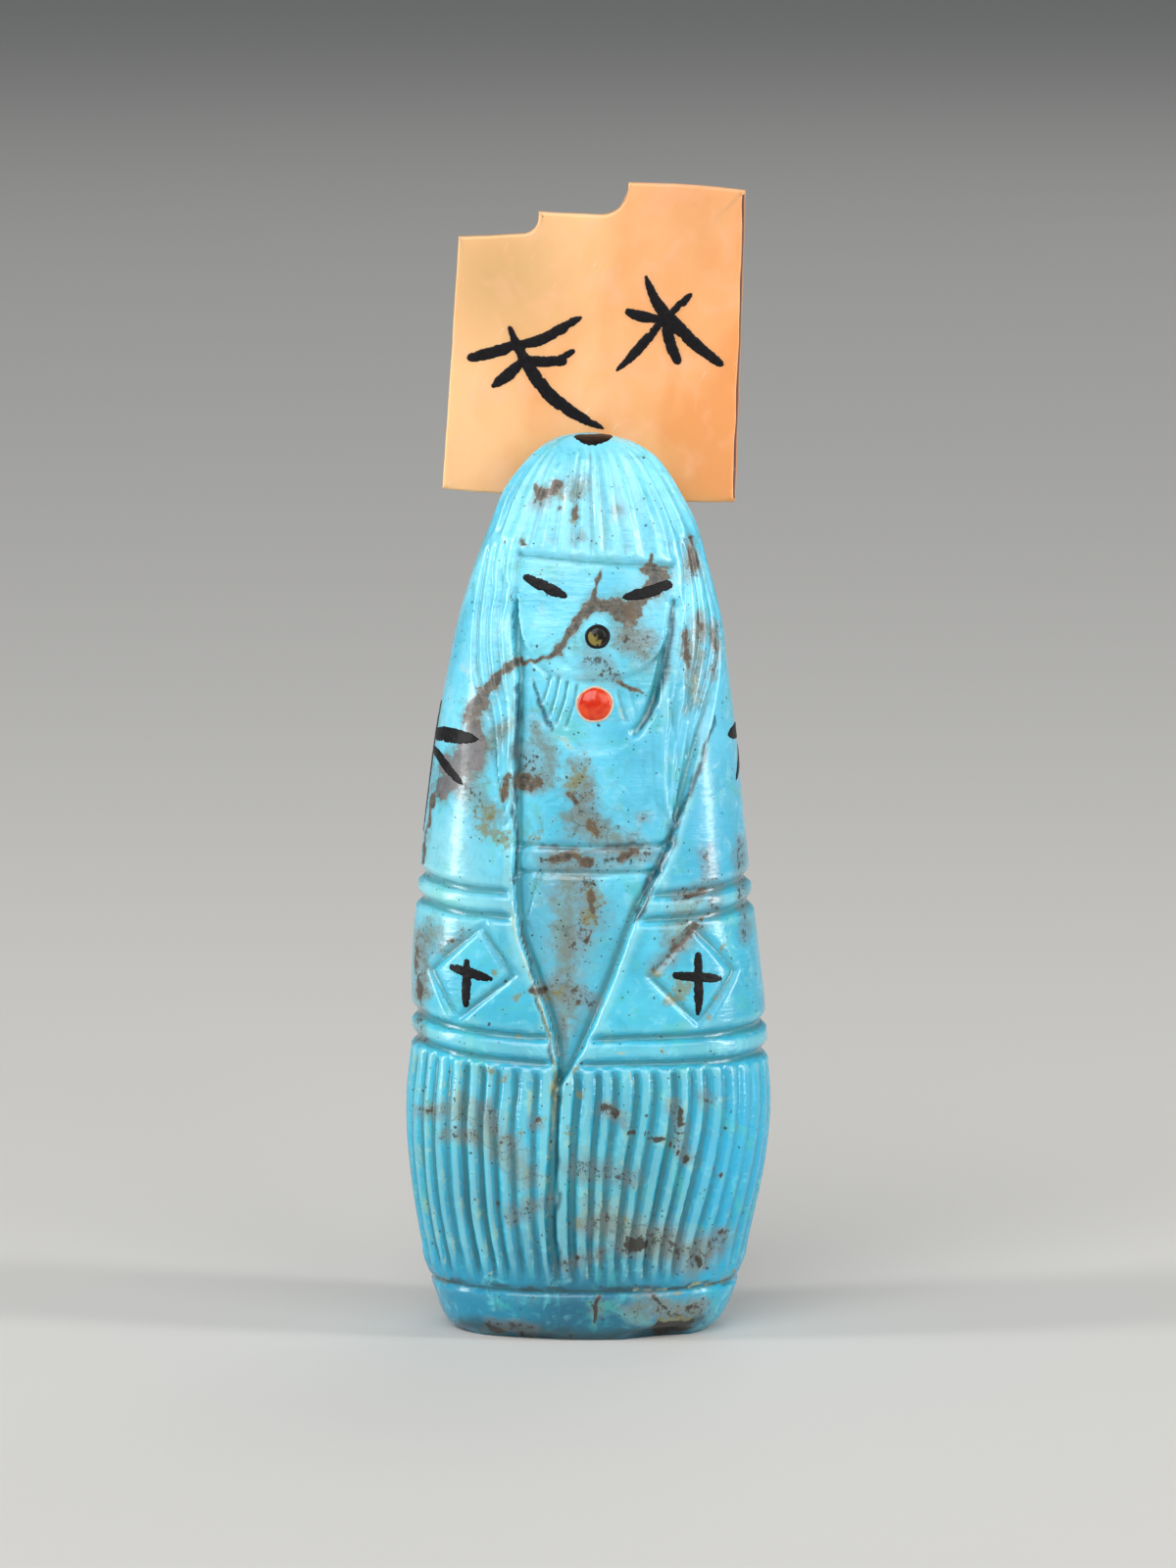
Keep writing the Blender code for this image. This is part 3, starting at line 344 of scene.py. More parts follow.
gap = edge_at(RIGHT_EDGE, FIGURE_HEIGHT / 2) - edge_at(LEFT_EDGE, FIGURE_HEIGHT / 2)
print("opening halfway up in mm:", round(float(gap * GIRTH[-1] * FIGURE_WIDTH / 2) / MM, 1))

# %% [markdown]
# Three more lines divide the opening. The bangs end in a line that slopes down a little to the
# right, and the chin and the collar are the lower halves of two ovals.

# %% Bangs, chin and collar
BANGS_HEIGHT = 86.7
BANGS_TILT = -3.0
BANGS_REACH = 0.3
FACE_CENTRE = (1.7, 82.1)
FACE_HALF_WIDTH = 5.55 * MM
FACE_DROP = 5.25 * MM
FACE_SQUARENESS = 2.6
COLLAR_CENTRE = (2.4, 74.2)
COLLAR_HALF_WIDTH = 4.65 * MM
COLLAR_DROP = 5.1 * MM


def bangs_at(share):
    """Height of the lower end of the bangs, which slopes down to the right."""
    return height_of(BANGS_HEIGHT + BANGS_TILT * np.clip(share, -BANGS_REACH, BANGS_REACH))


def oval(share, height, girth, centre, half_width, drop, squareness):
    """Distance down to the lower half of an oval; positive inside it."""
    across = np.abs(share - centre[0] * PERCENT) * girth / half_width
    below = np.clip(1 - across**squareness, 0, 1) ** (1 / squareness)
    return height - (height_of(centre[1]) - drop * below)


print("bangs end at mm:", [round(float(bangs_at(share)) / MM, 1) for share in (-0.2, 0.2)])

# %% [markdown]
# The face, the collar and the dress lie lower than the shawl, and a groove follows each edge
# of it. A belt of two hollow lines crosses the dress.

# %% Opening of the shawl
OPENING_SLOPE = 0.34 * MM
SOFT_SLOPE = 0.75 * MM
CHIN_SLOPE = 0.7 * MM
FACE_RECESS = 0.28 * MM
COLLAR_RECESS = 0.56 * MM
DRESS_RECESS = 0.46 * MM
EDGE_CUT_STEEP = 0.3 * MM
EDGE_CUT_GENTLE = (1.15 * MM, 1.9 * MM)
EDGE_CUT_DEPTH = 0.34 * MM
LOCK_END = 57.0
LOCK_END_FADE = 3 * MM
LOCK_EDGE_LOSS = 0.8
RIDGE_RISE = 0.1 * MM
RIDGE_WIDTH = 0.5 * MM
BANGS_CUT_WIDTH = 0.75 * MM
BANGS_CUT_DEPTH = 0.2 * MM
COLLAR_SLOPE = 2 * SOFT_SLOPE
COLLAR_CUT_WIDTH = 1.1 * MM
COLLAR_CUT_DEPTH = 0.05 * MM
BELT_HEIGHTS = (55.5, 52.6)
BELT_CUT_WIDTH = 0.6 * MM
BELT_CUT_DEPTH = 0.24 * MM


def opening_cuts(share, height, girth):
    """Face, collar, dress and belt, recessed between the edges of the shawl."""
    bangs = bangs_at(share)
    left = (share - edge_at(LEFT_EDGE, height)) * girth
    right = (edge_at(RIGHT_EDGE, height) - share) * girth
    beside_lock = ramp(height - height_of(LOCK_END), LOCK_END_FADE)
    right_slope = OPENING_SLOPE + (SOFT_SLOPE - OPENING_SLOPE) * (1 - beside_lock)
    between = ramp(left, OPENING_SLOPE) * ramp(right, right_slope)
    inside = between * ramp(bangs - height, OPENING_SLOPE)
    over_chin = oval(share, height, girth, FACE_CENTRE, FACE_HALF_WIDTH, FACE_DROP, FACE_SQUARENESS)
    over_collar = oval(share, height, girth, COLLAR_CENTRE, COLLAR_HALF_WIDTH, COLLAR_DROP, 2)
    face = ramp(over_chin, CHIN_SLOPE)
    collar = (1 - face) * ramp(over_collar, COLLAR_SLOPE)
    dress = (1 - face) * (1 - collar)
    depth = inside * (FACE_RECESS * face + COLLAR_RECESS * collar + DRESS_RECESS * dress)
    collar_end = height_of(COLLAR_CENTRE[1]) + COLLAR_CUT_WIDTH
    collar_cut = ramp(collar_end - height, COLLAR_CUT_WIDTH) * round_cut(over_collar, COLLAR_CUT_WIDTH)
    depth += inside * COLLAR_CUT_DEPTH * collar_cut
    left_cut = edge_cut(left, EDGE_CUT_STEEP, EDGE_CUT_GENTLE[0])
    right_cut = edge_cut(right, EDGE_CUT_STEEP, EDGE_CUT_GENTLE[1])
    right_cut *= 1 - LOCK_EDGE_LOSS * beside_lock
    depth += (1 - face) * inside * EDGE_CUT_DEPTH * np.maximum(left_cut, right_cut)
    ridge = beside_lock * dress * round_cut(right - RIDGE_WIDTH / 2, RIDGE_WIDTH)
    depth -= inside * RIDGE_RISE * ridge
    for belt in BELT_HEIGHTS:
        line = height - height_of(belt)
        depth += inside * BELT_CUT_DEPTH * round_cut(line, BELT_CUT_WIDTH)
    return depth + between * BANGS_CUT_DEPTH * round_cut(height - bangs, BANGS_CUT_WIDTH)


print("the collar lies lower than the shawl by mm:", round(COLLAR_RECESS / MM, 2))

# %% [markdown]
# Hair falls in three parts: short bangs over the brow, a long lock on each side of the face,
# and a straight fall down the back. The locks come first. Each strand is one V cut beside the
# next, between the edge of the shawl and an outer curve, and the right lock sinks below the
# shawl as it narrows.

# %% Locks beside the face
LEFT_LOCK = [
    (-39.6, 88.9), (-35.9, 83.0), (-32.9, 78.2), (-29.5, 73.4), (-25.0, 70.2), (-20.7, 61.6),
    (-18.3, 55.5), (-16.0, 52.0),
]
RIGHT_LOCK = [
    (43.1, 88.9), (43.3, 82.9), (42.4, 78.6), (38.9, 74.4), (33.9, 70.9), (28.6, 66.2),
    (24.3, 61.5), (21.5, 58.0), (18.0, 54.0),
]
LOCKS = [(LEFT_EDGE, LEFT_LOCK, 3, 53.5), (RIGHT_EDGE, RIGHT_LOCK, 4, 58.5)]
LOCK_TOP = 88.0
LOCK_CUT_WIDTH = 0.75 * MM
LOCK_CUT_DEPTH = 0.32 * MM
INNER_STRAND_DEPTH = 0.2 * MM
LOCK_EDGE_DEPTH = 0.42 * MM
LOCK_EDGE_GENTLE = 1.0 * MM
LOCK_SINK = 0.3 * MM
LOCK_SINK_FROM = 71.0
LOCK_SINK_LENGTH = 9 * MM
LOCK_SINK_END = 2 * MM
FADE_LENGTH = 1.0 * MM


def lock_cuts(share, height, girth):
    """Strands of the two locks that hang beside the face."""
    depth = np.zeros_like(share)
    for inner_curve, outer_curve, strands, tip in LOCKS:
        inner = edge_at(inner_curve, height)
        outer = edge_at(outer_curve, height)
        place = (share - inner) / (outer - inner) * strands
        lock_width = np.abs(outer - inner) * girth / strands
        line = (place - np.round(place)) * lock_width
        low = height_of(tip)
        high = height_of(LOCK_TOP)
        within = ramp(height - low, FADE_LENGTH) * ramp(high - height, FADE_LENGTH)
        is_strand = (place > 0.5) & (place < strands + 0.5)
        strand_depth = np.where(np.round(place) == strands, LOCK_CUT_DEPTH, INNER_STRAND_DEPTH)
        strand = v_cut(line, np.minimum(LOCK_CUT_WIDTH, lock_width))
        depth += within * is_strand * strand_depth * strand
    inner = (share - edge_at(RIGHT_EDGE, height)) * girth
    outer = (edge_at(RIGHT_LOCK, height) - share) * girth
    lowered = ramp(height_of(LOCK_SINK_FROM) - height, LOCK_SINK_LENGTH)
    lowered *= ramp(height - height_of(RIGHT_LOCK[-1][1]), LOCK_SINK_END)
    over_lock = ramp(inner, OPENING_SLOPE) * ramp(outer, OPENING_SLOPE)
    beside_shawl = LOCK_EDGE_DEPTH * edge_cut(outer, EDGE_CUT_STEEP, LOCK_EDGE_GENTLE)
    return depth + lowered * over_lock * (LOCK_SINK + beside_shawl)


print("strands in the two locks:", sum(strands for _, _, strands, _ in LOCKS))

# %% [markdown]
# Over the crown the strands run from the middle of the head down to the bangs and the sides.
# They are as many all the way round, so they draw together towards the top, and the cuts get
# shallower there. Down the back they end at a level cut.

# %% Crown and back hair
HAIR_STRANDS_AROUND = 32
HAIR_DEPTH = 0.3 * MM
HAIR_STEEPNESS = 0.3
HAIR_LINE_HEIGHT = 89.0
CROWN_FADE_HEIGHT = 98.6
BACK_HAIR_FROM = 78.0
BACK_HAIR_HEIGHT = 53.5
STRAND_SPREAD = 0.24
STRAND_SEED = 31


def hair_cuts(share, height, girth):
    """Strands over the crown, and down the back to a level end."""
    share_pitch = 2 / HAIR_STRANDS_AROUND
    bangs = bangs_at(share)
    place = (share - edge_at(LEFT_EDGE, height_of(BANGS_HEIGHT))) / share_pitch
    place, strength = uneven_lines(place, HAIR_STRANDS_AROUND, STRAND_SPREAD, STRAND_SEED)
    pitch = share_pitch * girth
    strand = strength * v_cut((place - np.round(place)) * pitch, pitch)
    hair_line = height_of(HAIR_LINE_HEIGHT)
    in_bangs = (share > LEFT_EDGE[0][0] * PERCENT) & (share < RIGHT_EDGE[0][0] * PERCENT)
    start = np.where(in_bangs, bangs + BANGS_CUT_WIDTH / 2, hair_line)
    crown = height_of(CROWN_FADE_HEIGHT)
    cap = ramp(height - start, FADE_LENGTH) * ramp(crown - height, FADE_LENGTH)
    back = (np.abs(share) - BACK_HAIR_FROM * PERCENT) * girth
    low = height_of(BACK_HAIR_HEIGHT)
    down_back = ramp(back, FADE_LENGTH) * ramp(height - low, LOCK_CUT_WIDTH)
    down_back *= ramp(hair_line + FADE_LENGTH - height, FADE_LENGTH)
    strand *= np.minimum(HAIR_DEPTH, HAIR_STEEPNESS * pitch)
    depth = strand * np.clip(cap + down_back, 0, 1)
    beside = ramp(height - low, FADE_LENGTH) * ramp(hair_line - height, FADE_LENGTH)
    side_cut = beside * round_cut(back, LOCK_CUT_WIDTH)
    end_cut = round_cut(height - low, LOCK_CUT_WIDTH) * ramp(back, LOCK_CUT_WIDTH)
    return depth + LOCK_CUT_DEPTH * np.maximum(side_cut, end_cut)


print("strands round the head:", HAIR_STRANDS_AROUND)

# %% [markdown]
# The shawl carries two pairs of bands. Between them a diamond is cut on each front corner, and
# two more lie behind. A band rises a little from the front to each side, where the wheel could
# bite deeper, and runs level round the back.

# %% Bands and diamonds
BANDS = [(50.1, 1.0, 0.6), (47.4, 1.0, 0.6), (34.4, 1.3, 0.2), (31.6, 1.3, -0.2)]
SHAWL_MARGIN = 0.25 * MM
BAND_CUT_WIDTH = 0.95 * MM
BAND_CUT_DEPTH = 0.46 * MM
BAND_SIDE_GAIN = 0.35
BAND_RISE_REACH = 41.0
BAND_LEVEL_AT = 75.0
BAND_LEVEL_WIDTH = 50.0
DIAMONDS = [(-25.6, 0.85 * MM), (23.2, 0.0), (-75.5, 0.0), (75.5, 0.0)]
DIAMOND_HEIGHT = 41.2
DIAMOND_HALF_WIDTH = 3.3 * MM
DIAMOND_HALF_HEIGHT = 3.35 * MM
DIAMOND_CUT_WIDTH = 0.9 * MM
DIAMOND_CUT_DEPTH = 0.34 * MM


def band_height(band, share):
    """Height of a cut band: it rises from the front to each side and closes at the back."""
    front, left, right = (height_of(value) for value in band)
    rise = np.clip(np.abs(share) / (BAND_RISE_REACH * PERCENT), 0, 1) ** 2
    side = np.where(share < 0, left, right)
    behind = ramp(np.abs(share) - BAND_LEVEL_AT * PERCENT, BAND_LEVEL_WIDTH * PERCENT)
    return front + rise * (side * (1 - behind) + (left + right) / 2 * behind)


def shawl_cuts(share, height, girth):
    """Bands round the shawl and the diamonds between them."""
    left = (edge_at(LEFT_EDGE, height) - share) * girth
    right = (share - edge_at(RIGHT_EDGE, height)) * girth
    on_shawl = ramp(np.maximum(left, right) - SHAWL_MARGIN, OPENING_SLOPE)
    depth = np.zeros_like(share)
    for band in BANDS:
        line = height - band_height(band, share)
        deeper = 1 + BAND_SIDE_GAIN * np.clip(np.abs(share) / (BAND_RISE_REACH * PERCENT), 0, 1) ** 3
        depth = np.maximum(depth, deeper * BAND_CUT_DEPTH * v_cut(line, deeper * BAND_CUT_WIDTH))
    for around, lean in DIAMONDS:
        up = height - height_of(DIAMOND_HEIGHT)
        across = (share - around * PERCENT) * girth - lean * up / DIAMOND_HALF_HEIGHT
        size = np.abs(across) / DIAMOND_HALF_WIDTH + np.abs(up) / DIAMOND_HALF_HEIGHT
        slope = math.hypot(1 / DIAMOND_HALF_WIDTH, 1 / DIAMOND_HALF_HEIGHT)
        cut = v_cut((size - 1) / slope, DIAMOND_CUT_WIDTH)
        depth = np.maximum(depth, DIAMOND_CUT_DEPTH * cut)
    return on_shawl * depth


print("bands:", len(BANDS), "diamonds:", len(DIAMONDS))

# %% [markdown]
# A fringe of long flutes hangs below the bands, down to a plain foot. A flute has one steep
# side and one gentle side with a flat ridge between it and the next. The flutes fan out as
# they fall, and they are shallower round the back. The left edge of the shawl runs down
# through them as a seam.

# %% Fringe and foot
FRINGE_PITCH = 1.36 * MM
FRINGE_DEPTH = 0.38 * MM
FRINGE_SIDE_DEPTH = 0.14 * MM
FRINGE_END_LENGTH = 2.4 * MM
FRINGE_FRONT_REACH = (40.0, 26.0)
FRINGE_FRONT_FADE = 20.0
FRINGE_TOP_MARGIN = 0.55 * MM
FRINGE_TOP_SLOPE = 0.6 * MM
FLUTE_STEEP_SHARE = 0.24
FLUTE_GENTLE_SHARE = 0.37
FRINGE_LEAN = (
    [-1, -0.6, -0.2, 0.0, 0.12, 0.22, 0.4, 0.7, 1],
    [0, 0.3, 0.35, 0.0, 1.0, 1.1, 0.6, 0.3, 0],
)
SEAM_WIDTH = 1.0 * MM
SEAM_DEPTH = 0.5 * MM
FOOT_HEIGHT = 5.3
FOOT_SET_IN = 0.12 * MM
FOOT_SET_IN_REACH = 3.5 * MM
FOOT_CUT_WIDTH = 0.5 * MM
FOOT_CUT_DEPTH = 0.34 * MM
FOOT_ROUNDING = 0.5 * MM
FOOT_ROUNDING_DEPTH = 0.3 * FOOT_ROUNDING
FLUTE_SPREAD = 0.2
FLUTE_SEED = 33


def flutes_at(share, height, girth):
    """Distance past a flute, pitch, depth, where the fringe is, and distance past the seam."""
    foot = height_of(FOOT_HEIGHT)
    top = band_height(BANDS[-1], share) - FRINGE_TOP_MARGIN
    drop = np.clip((top - height) / (top - foot), 0, 1)
    lean = np.interp(share, *FRINGE_LEAN) * MM * drop**2 * (3 - 2 * drop) * np.where(share < 0, -1, 1)
    seam = (share - edge_at(LEFT_EDGE, height)) * girth
    fringe_girth = GIRTH[-1] * np.interp(height_of(BANDS[-1][0]), HEIGHTS, WIDTHS)
    flutes = round(2 * fringe_girth / FRINGE_PITCH)
    pitch = 2 * girth / flutes
    place, strength = uneven_lines((seam + lean) / pitch, flutes, FLUTE_SPREAD, FLUTE_SEED)
    line = (place - np.round(place)) * pitch
    reach = np.where(share < 0, *FRINGE_FRONT_REACH) * PERCENT
    front = ramp(reach - np.abs(share), FRINGE_FRONT_FADE * PERCENT)
    flute_depth = strength * (FRINGE_SIDE_DEPTH + (FRINGE_DEPTH - FRINGE_SIDE_DEPTH) * front)
    low = np.clip((height - foot - FOOT_CUT_WIDTH) / FRINGE_END_LENGTH, 0, 1)
    within = ramp(top - height, FRINGE_TOP_SLOPE) * (1 - (1 - low) ** 2)
    return line, pitch, within * flute_depth, within, seam


def fringe_cuts(share, height, girth):
    """Flutes of the fringe, its seam, and the foot below it."""
    line, pitch, flute_depth, within, seam = flutes_at(share, height, girth)
    half = np.where(line < 0, FLUTE_STEEP_SHARE, FLUTE_GENTLE_SHARE) * pitch
    flute = flute_depth * np.clip(1 - (line / half) ** 2, 0, 1)
    depth = np.maximum(flute, within * SEAM_DEPTH * round_cut(seam, SEAM_WIDTH))
    over_foot = height - height_of(FOOT_HEIGHT)
    set_in = ramp(over_foot, OPENING_SLOPE) * np.clip(1 - over_foot / FOOT_SET_IN_REACH, 0, 1)
    depth += FOOT_SET_IN * set_in
    depth += FOOT_CUT_DEPTH * round_cut(over_foot - FOOT_CUT_WIDTH / 2, FOOT_CUT_WIDTH)
    return depth + FOOT_ROUNDING_DEPTH * np.clip(1 - height / FOOT_ROUNDING, 0, 1) ** 2


print("flutes are about this far apart in mm:", round(FRINGE_PITCH / MM, 2))

# %% [markdown]
# The lower edge has two old chips, as a soft stone gets when it is set down hard. Each is a
# shallow scoop with its place round the foot, half its length, its height and its depth.

# %% Chips
CHIPS = [
    (21.0, 2.6 * MM, 1.0 * MM, 0.7 * MM),
    (-17.0, 3.0 * MM, 0.7 * MM, 0.4 * MM),
]


def chip_cuts(share, height, girth):
    """Broken places along the lower edge."""
    depth = np.zeros_like(share)
    for around, half_length, tall, deep in CHIPS:
        along = (share - around * PERCENT) * girth / half_length
        reach = np.clip(1 - along**2, 0, 1) * np.maximum(1 - height / tall, 0)
        depth = np.maximum(depth, deep * reach)
    return depth


print("chips:", len(CHIPS))

# %% [markdown]
# Some small cuts are easier to draw as the camera sees them: the pleats of the collar, the
# facets on the left cheek and the dress, fine lines on the dress, and a groove beside the
# right of the face. Each cut is a list of picture steps with a width and a depth in
# millimetres, and each facet has a slope and a reach.

# %% Small cuts seen from the front
FINE_CUTS = [
    ([(560, 691), (557, 702), (553, 715)], 0.5, 0.2),
    ([(569, 693), (566, 708), (560, 729)], 0.5, 0.24),
    ([(578, 697), (575, 714), (567, 737)], 0.5, 0.26),
    ([(588, 701), (585, 718), (577, 741)], 0.5, 0.22),
    ([(631, 706), (635, 722), (640, 736)], 0.45, 0.16),
    ([(643, 704), (647, 718), (651, 730)], 0.4, 0.1),
    ([(691, 618), (687, 650), (681, 680), (673, 704), (663, 726), (650, 746)], 1.25, 0.42),
    ([(524, 602), (522, 625), (523, 652)], 0.6, 0.08),
    ([(550, 888), (544, 908), (536, 934)], 0.3, 0.16),
    ([(553, 890), (547, 910), (539, 932)], 0.22, 0.08),
    ([(536, 941), (546, 956), (556, 974)], 0.34, 0.14),
    ([(604, 893), (632, 898), (662, 895)], 0.3, 0.05),
    ([(686, 690), (684, 712), (690, 745), (696, 785)], 0.4, 0.1),
    ([(700, 640), (702, 690), (706, 730), (704, 770)], 0.5, 0.14),
    ([(493, 954), (509, 973), (525, 990)], 0.22, 0.12),
]
FACETS = [
    ([(524, 606), (538, 629), (556, 653), (568, 664)], 0.16, 2.0),
    ([(555, 868), (556, 930), (566, 985), (576, 1040)], 0.11, 2.6),
]


def fine_cuts(points, front):
    """Depth of the small cuts and facets at points of the stone that face the front."""
    across, down = on_picture(points)
    depth = np.zeros_like(across)
    for line, width, deep in FINE_CUTS:
        radius = width * MM / 2 / PICTURE_STEP
        chain = [(x, y, radius) for x, y in line]
        depth = np.maximum(depth, deep * MM * np.clip(chain_field(across, down, chain), 0, 1))
    for line, slope, reach in FACETS:
        reach = reach * MM / PICTURE_STEP
        beside = np.clip(side_of(across, down, line) / reach, 0, 1)
        near = np.clip(2 + chain_field(across, down, [(x, y, reach) for x, y in line]), 0, 1)
        depth += slope * reach * PICTURE_STEP * beside * near * np.clip(2 * (1 - beside), 0, 1)
    return depth * front


print("small cuts:", len(FINE_CUTS), "facets:", len(FACETS))

# %% [markdown]
# All the cuts are added up. The chart is shaken a little before the cuts are read, so that
# lines drift as a hand drifts, and the rubbed stone keeps faint flats from the grinding wheel.

# %% The carved stone
DRIFT = 0.09 * MM
DRIFT_SIZE = 3.1 * MM
CHATTER = 0.03 * MM
CHATTER_SIZE = 0.7 * MM
DRIFT_SEEDS = (1, 3)
FLATS = 0.05 * MM
FLATS_SIZE = 4.5 * MM
FLATS_SEED = 5
FACING_FROM = 0.2
FACING_FADE = 0.2


def shaken(point, share, width, height):
    """Where a cut is looked up for a point: its share, height and half girth, shaken a little."""
    girth = GIRTH[-1] * width * np.ones_like(share)
    around, along = (
        DRIFT * wobble(point, DRIFT_SIZE, seed) + CHATTER * wobble(point, CHATTER_SIZE, seed + 1)
        for seed in DRIFT_SEEDS)
    return share + around / np.maximum(girth, FADE_LENGTH), height + along, girth


def carve(share, width, width_step, height, height_step):
    """Point, normal and depth of cut on the carved stone."""
    point, normal = blank_surface(share, width, width_step, height, height_step)
    place = shaken(point, share, width, height)
    depth = opening_cuts(*place) + lock_cuts(*place) + hair_cuts(*place)
    depth += shawl_cuts(*place) + fringe_cuts(*place) + chip_cuts(*place)
    depth += fine_cuts(point, ramp(-normal[..., 1] - FACING_FROM, FACING_FADE))
    uneven = FLATS * (1 - wobble(point, FLATS_SIZE, FLATS_SEED)) / 2
    uneven += CHATTER * wobble(point, FLATS_SIZE / 3, FLATS_SEED + 1) / 2
    return point, normal, depth, depth + np.clip(uneven, 0, None)


def on_stone(round_percent, height_percent, lift):
    """Points at a lift over the carved stone, from places on the chart."""
    share = np.asarray(round_percent, float) * PERCENT
    share = (share + 1) % 2 - 1
    height = height_of(np.asarray(height_percent, float))
    columns = [np.interp(height, HEIGHTS, column) for column in (WIDTHS, WIDTH_STEPS, HEIGHT_STEPS)]
    point, normal, _, depth = carve(share, columns[0], columns[1], height, columns[2])
    return point + normal * (np.asarray(lift) - depth)[..., None]


nose = on_stone([0.0], [80.0], [0.0])[0]
print("a point of the face in mm:", [round(float(value) / MM, 1) for value in nose])

# %% [markdown]
# The chart becomes a grid. Columns lie closer on the front, where the carving is finest, and
# rows lie further apart down the fringe, whose flutes run straight. That keeps the mesh under
# two hundred thousand triangles. Both spacings are given as places and millimetres.

# %% Grid of the stone
FINE_STEPS = 8001
SMALLEST_RING = 0.5 * MM
COLUMN_PITCH = ([0.0, 0.3, 0.5, 1.0], [0.17, 0.17, 0.25, 0.34])
ROW_PITCH = ([0.0, 3.6, 5.0, 17.5, 19.5, 80.0], [0.22, 0.22, 0.48, 0.48, 0.19, 0.19])


def spaced(places, pitch):
    """New places along a line so that their spacing follows a pitch."""
    steps = np.concatenate([[0], np.cumsum(np.diff(places) / pitch[1:])])
    return np.interp(np.linspace(0, steps[-1], int(steps[-1]) + 1), steps, places)


fine_share = np.linspace(-1, 1, FINE_STEPS)
widest = GIRTH[-1] * FIGURE_WIDTH / 2
share_pitch = np.interp(np.abs(fine_share), *COLUMN_PITCH) * MM / widest
columns = spaced(fine_share, share_pitch)[:-1]
run_pitch = np.interp(RUN / MM, *ROW_PITCH) * MM
rows = spaced(RUN, run_pitch)
row_count = int(np.sum(np.interp(rows, RUN, WIDTHS) > SMALLEST_RING))
rows = rows[:row_count]
print("columns:", len(columns), "rows:", len(rows))

# %% [markdown]
# The shell plate stands against a flat at the back of the head, tilted a little. Its own frame
# starts at its lower left corner: across, back from its front, and up. The stone needs that
# frame first, because the flat has to clear the plate by the thickness of the glue.

# %% Frame of the plate
TABLITA_LEFT = -10.25 * MM
TABLITA_DROP = 4.2 * MM
TABLITA_THICKNESS = 1.5 * MM
TABLITA_BACK_INSET = 0.35 * MM
TABLITA_TILT = math.radians(2.7)
TABLITA_WIDTH = 20.7 * MM
BOTTOM_SAG = 0.3 * MM
BOW_FULLNESS = 0.6
GLUE_GAP = 0.06 * MM

corner_height = FIGURE_HEIGHT - TABLITA_DROP
middle_height = corner_height + TABLITA_LEFT * math.tan(TABLITA_TILT)
head_back = np.interp(middle_height, HEIGHTS, WIDTHS) * FIGURE_DEPTH / FIGURE_WIDTH
plate_front = head_back - TABLITA_BACK_INSET - TABLITA_THICKNESS
plate_matrix = Matrix.Translation((TABLITA_LEFT, plate_front, corner_height))
plate_matrix = np.array(plate_matrix @ Matrix.Rotation(TABLITA_TILT, 4, "Y"))


def to_plate(points):
    """Places in the plate's own frame: across, behind its front, and up from its corner."""
    return (points - plate_matrix[:3, 3]) @ plate_matrix[:3, :3]


def from_plate(points):
    """Places in space of points given in the plate's own frame."""
    return points @ plate_matrix[:3, :3].T + plate_matrix[:3, 3]


def bottom_bow(across):
    """How far the plate's lower edge bows down along its width, from 0 to 1."""
    return np.clip(np.sin(math.pi * np.clip(across / TABLITA_WIDTH, 0, 1)), 0, 1) ** BOW_FULLNESS


print("the plate's corner in mm:", [round(float(value) / MM, 2) for value in plate_matrix[:3, 3]])

# %% [markdown]
# Now the stone is carved: every point of the grid moves in by the depth of its cut. Points that
# would stand in the plate are pushed to the flat. The grid is closed round the back, and a fan
# of triangles closes the foot and the crown.

# %% Mesh of the stone


def grid_faces(row_count, column_count, closed):
    """Four-sided faces between the rows and columns of a grid."""
    down = np.arange(row_count - 1)[:, None] * column_count
    across = np.arange(column_count if closed else column_count - 1)
    after = (across + 1) % column_count
    corners = [down + across, down + after]
    corners += [corner + column_count for corner in reversed(corners)]
    return np.stack(corners, axis=-1).reshape(-1, 4)


share_grid = np.repeat(columns[None, :], row_count, axis=0)
tables = (WIDTHS, WIDTH_STEPS, HEIGHTS, HEIGHT_STEPS)
row_values = [np.interp(rows, RUN, table)[:, None] for table in tables]
point, normal, cut_depth, depth = carve(share_grid, *row_values)
carved = point - normal * depth[..., None]
in_plate = to_plate(carved)
plate_foot = -GLUE_GAP - BOTTOM_SAG * bottom_bow(in_plate[..., 0])
behind = (in_plate[..., 2] > plate_foot) & (in_plate[..., 1] > -GLUE_GAP)
in_plate[..., 1] = np.where(behind, -GLUE_GAP, in_plate[..., 1])
carved = from_plate(in_plate)
carved[0, :, 2] = 0
stone_points = np.vstack([carved.reshape(-1, 3), [[0, 0, 0], [0, 0, carved[-1, :, 2].max()]]])
column_count = len(columns)
foot_middle, crown_middle = len(stone_points) - 2, len(stone_points) - 1
ring = np.arange(column_count)
after = (ring + 1) % column_count
last = (row_count - 1) * column_count
fan = np.stack([after, ring, np.full(column_count, foot_middle)], axis=1)
cap = np.stack([last + ring, last + after, np.full(column_count, crown_middle)], axis=1)
stone_faces = grid_faces(row_count, column_count, closed=True).tolist()
stone_faces += fan.tolist() + cap.tolist()
print("triangles of the stone:", 2 * len(stone_faces) - 2 * column_count)

# %% [markdown]
# Natural turquoise keeps some of its host rock, the brown and grey matrix. The large marks are
# placed where the camera sees them, as chains of discs: steps across, steps down and radius.
# The shader breaks their edges up later.

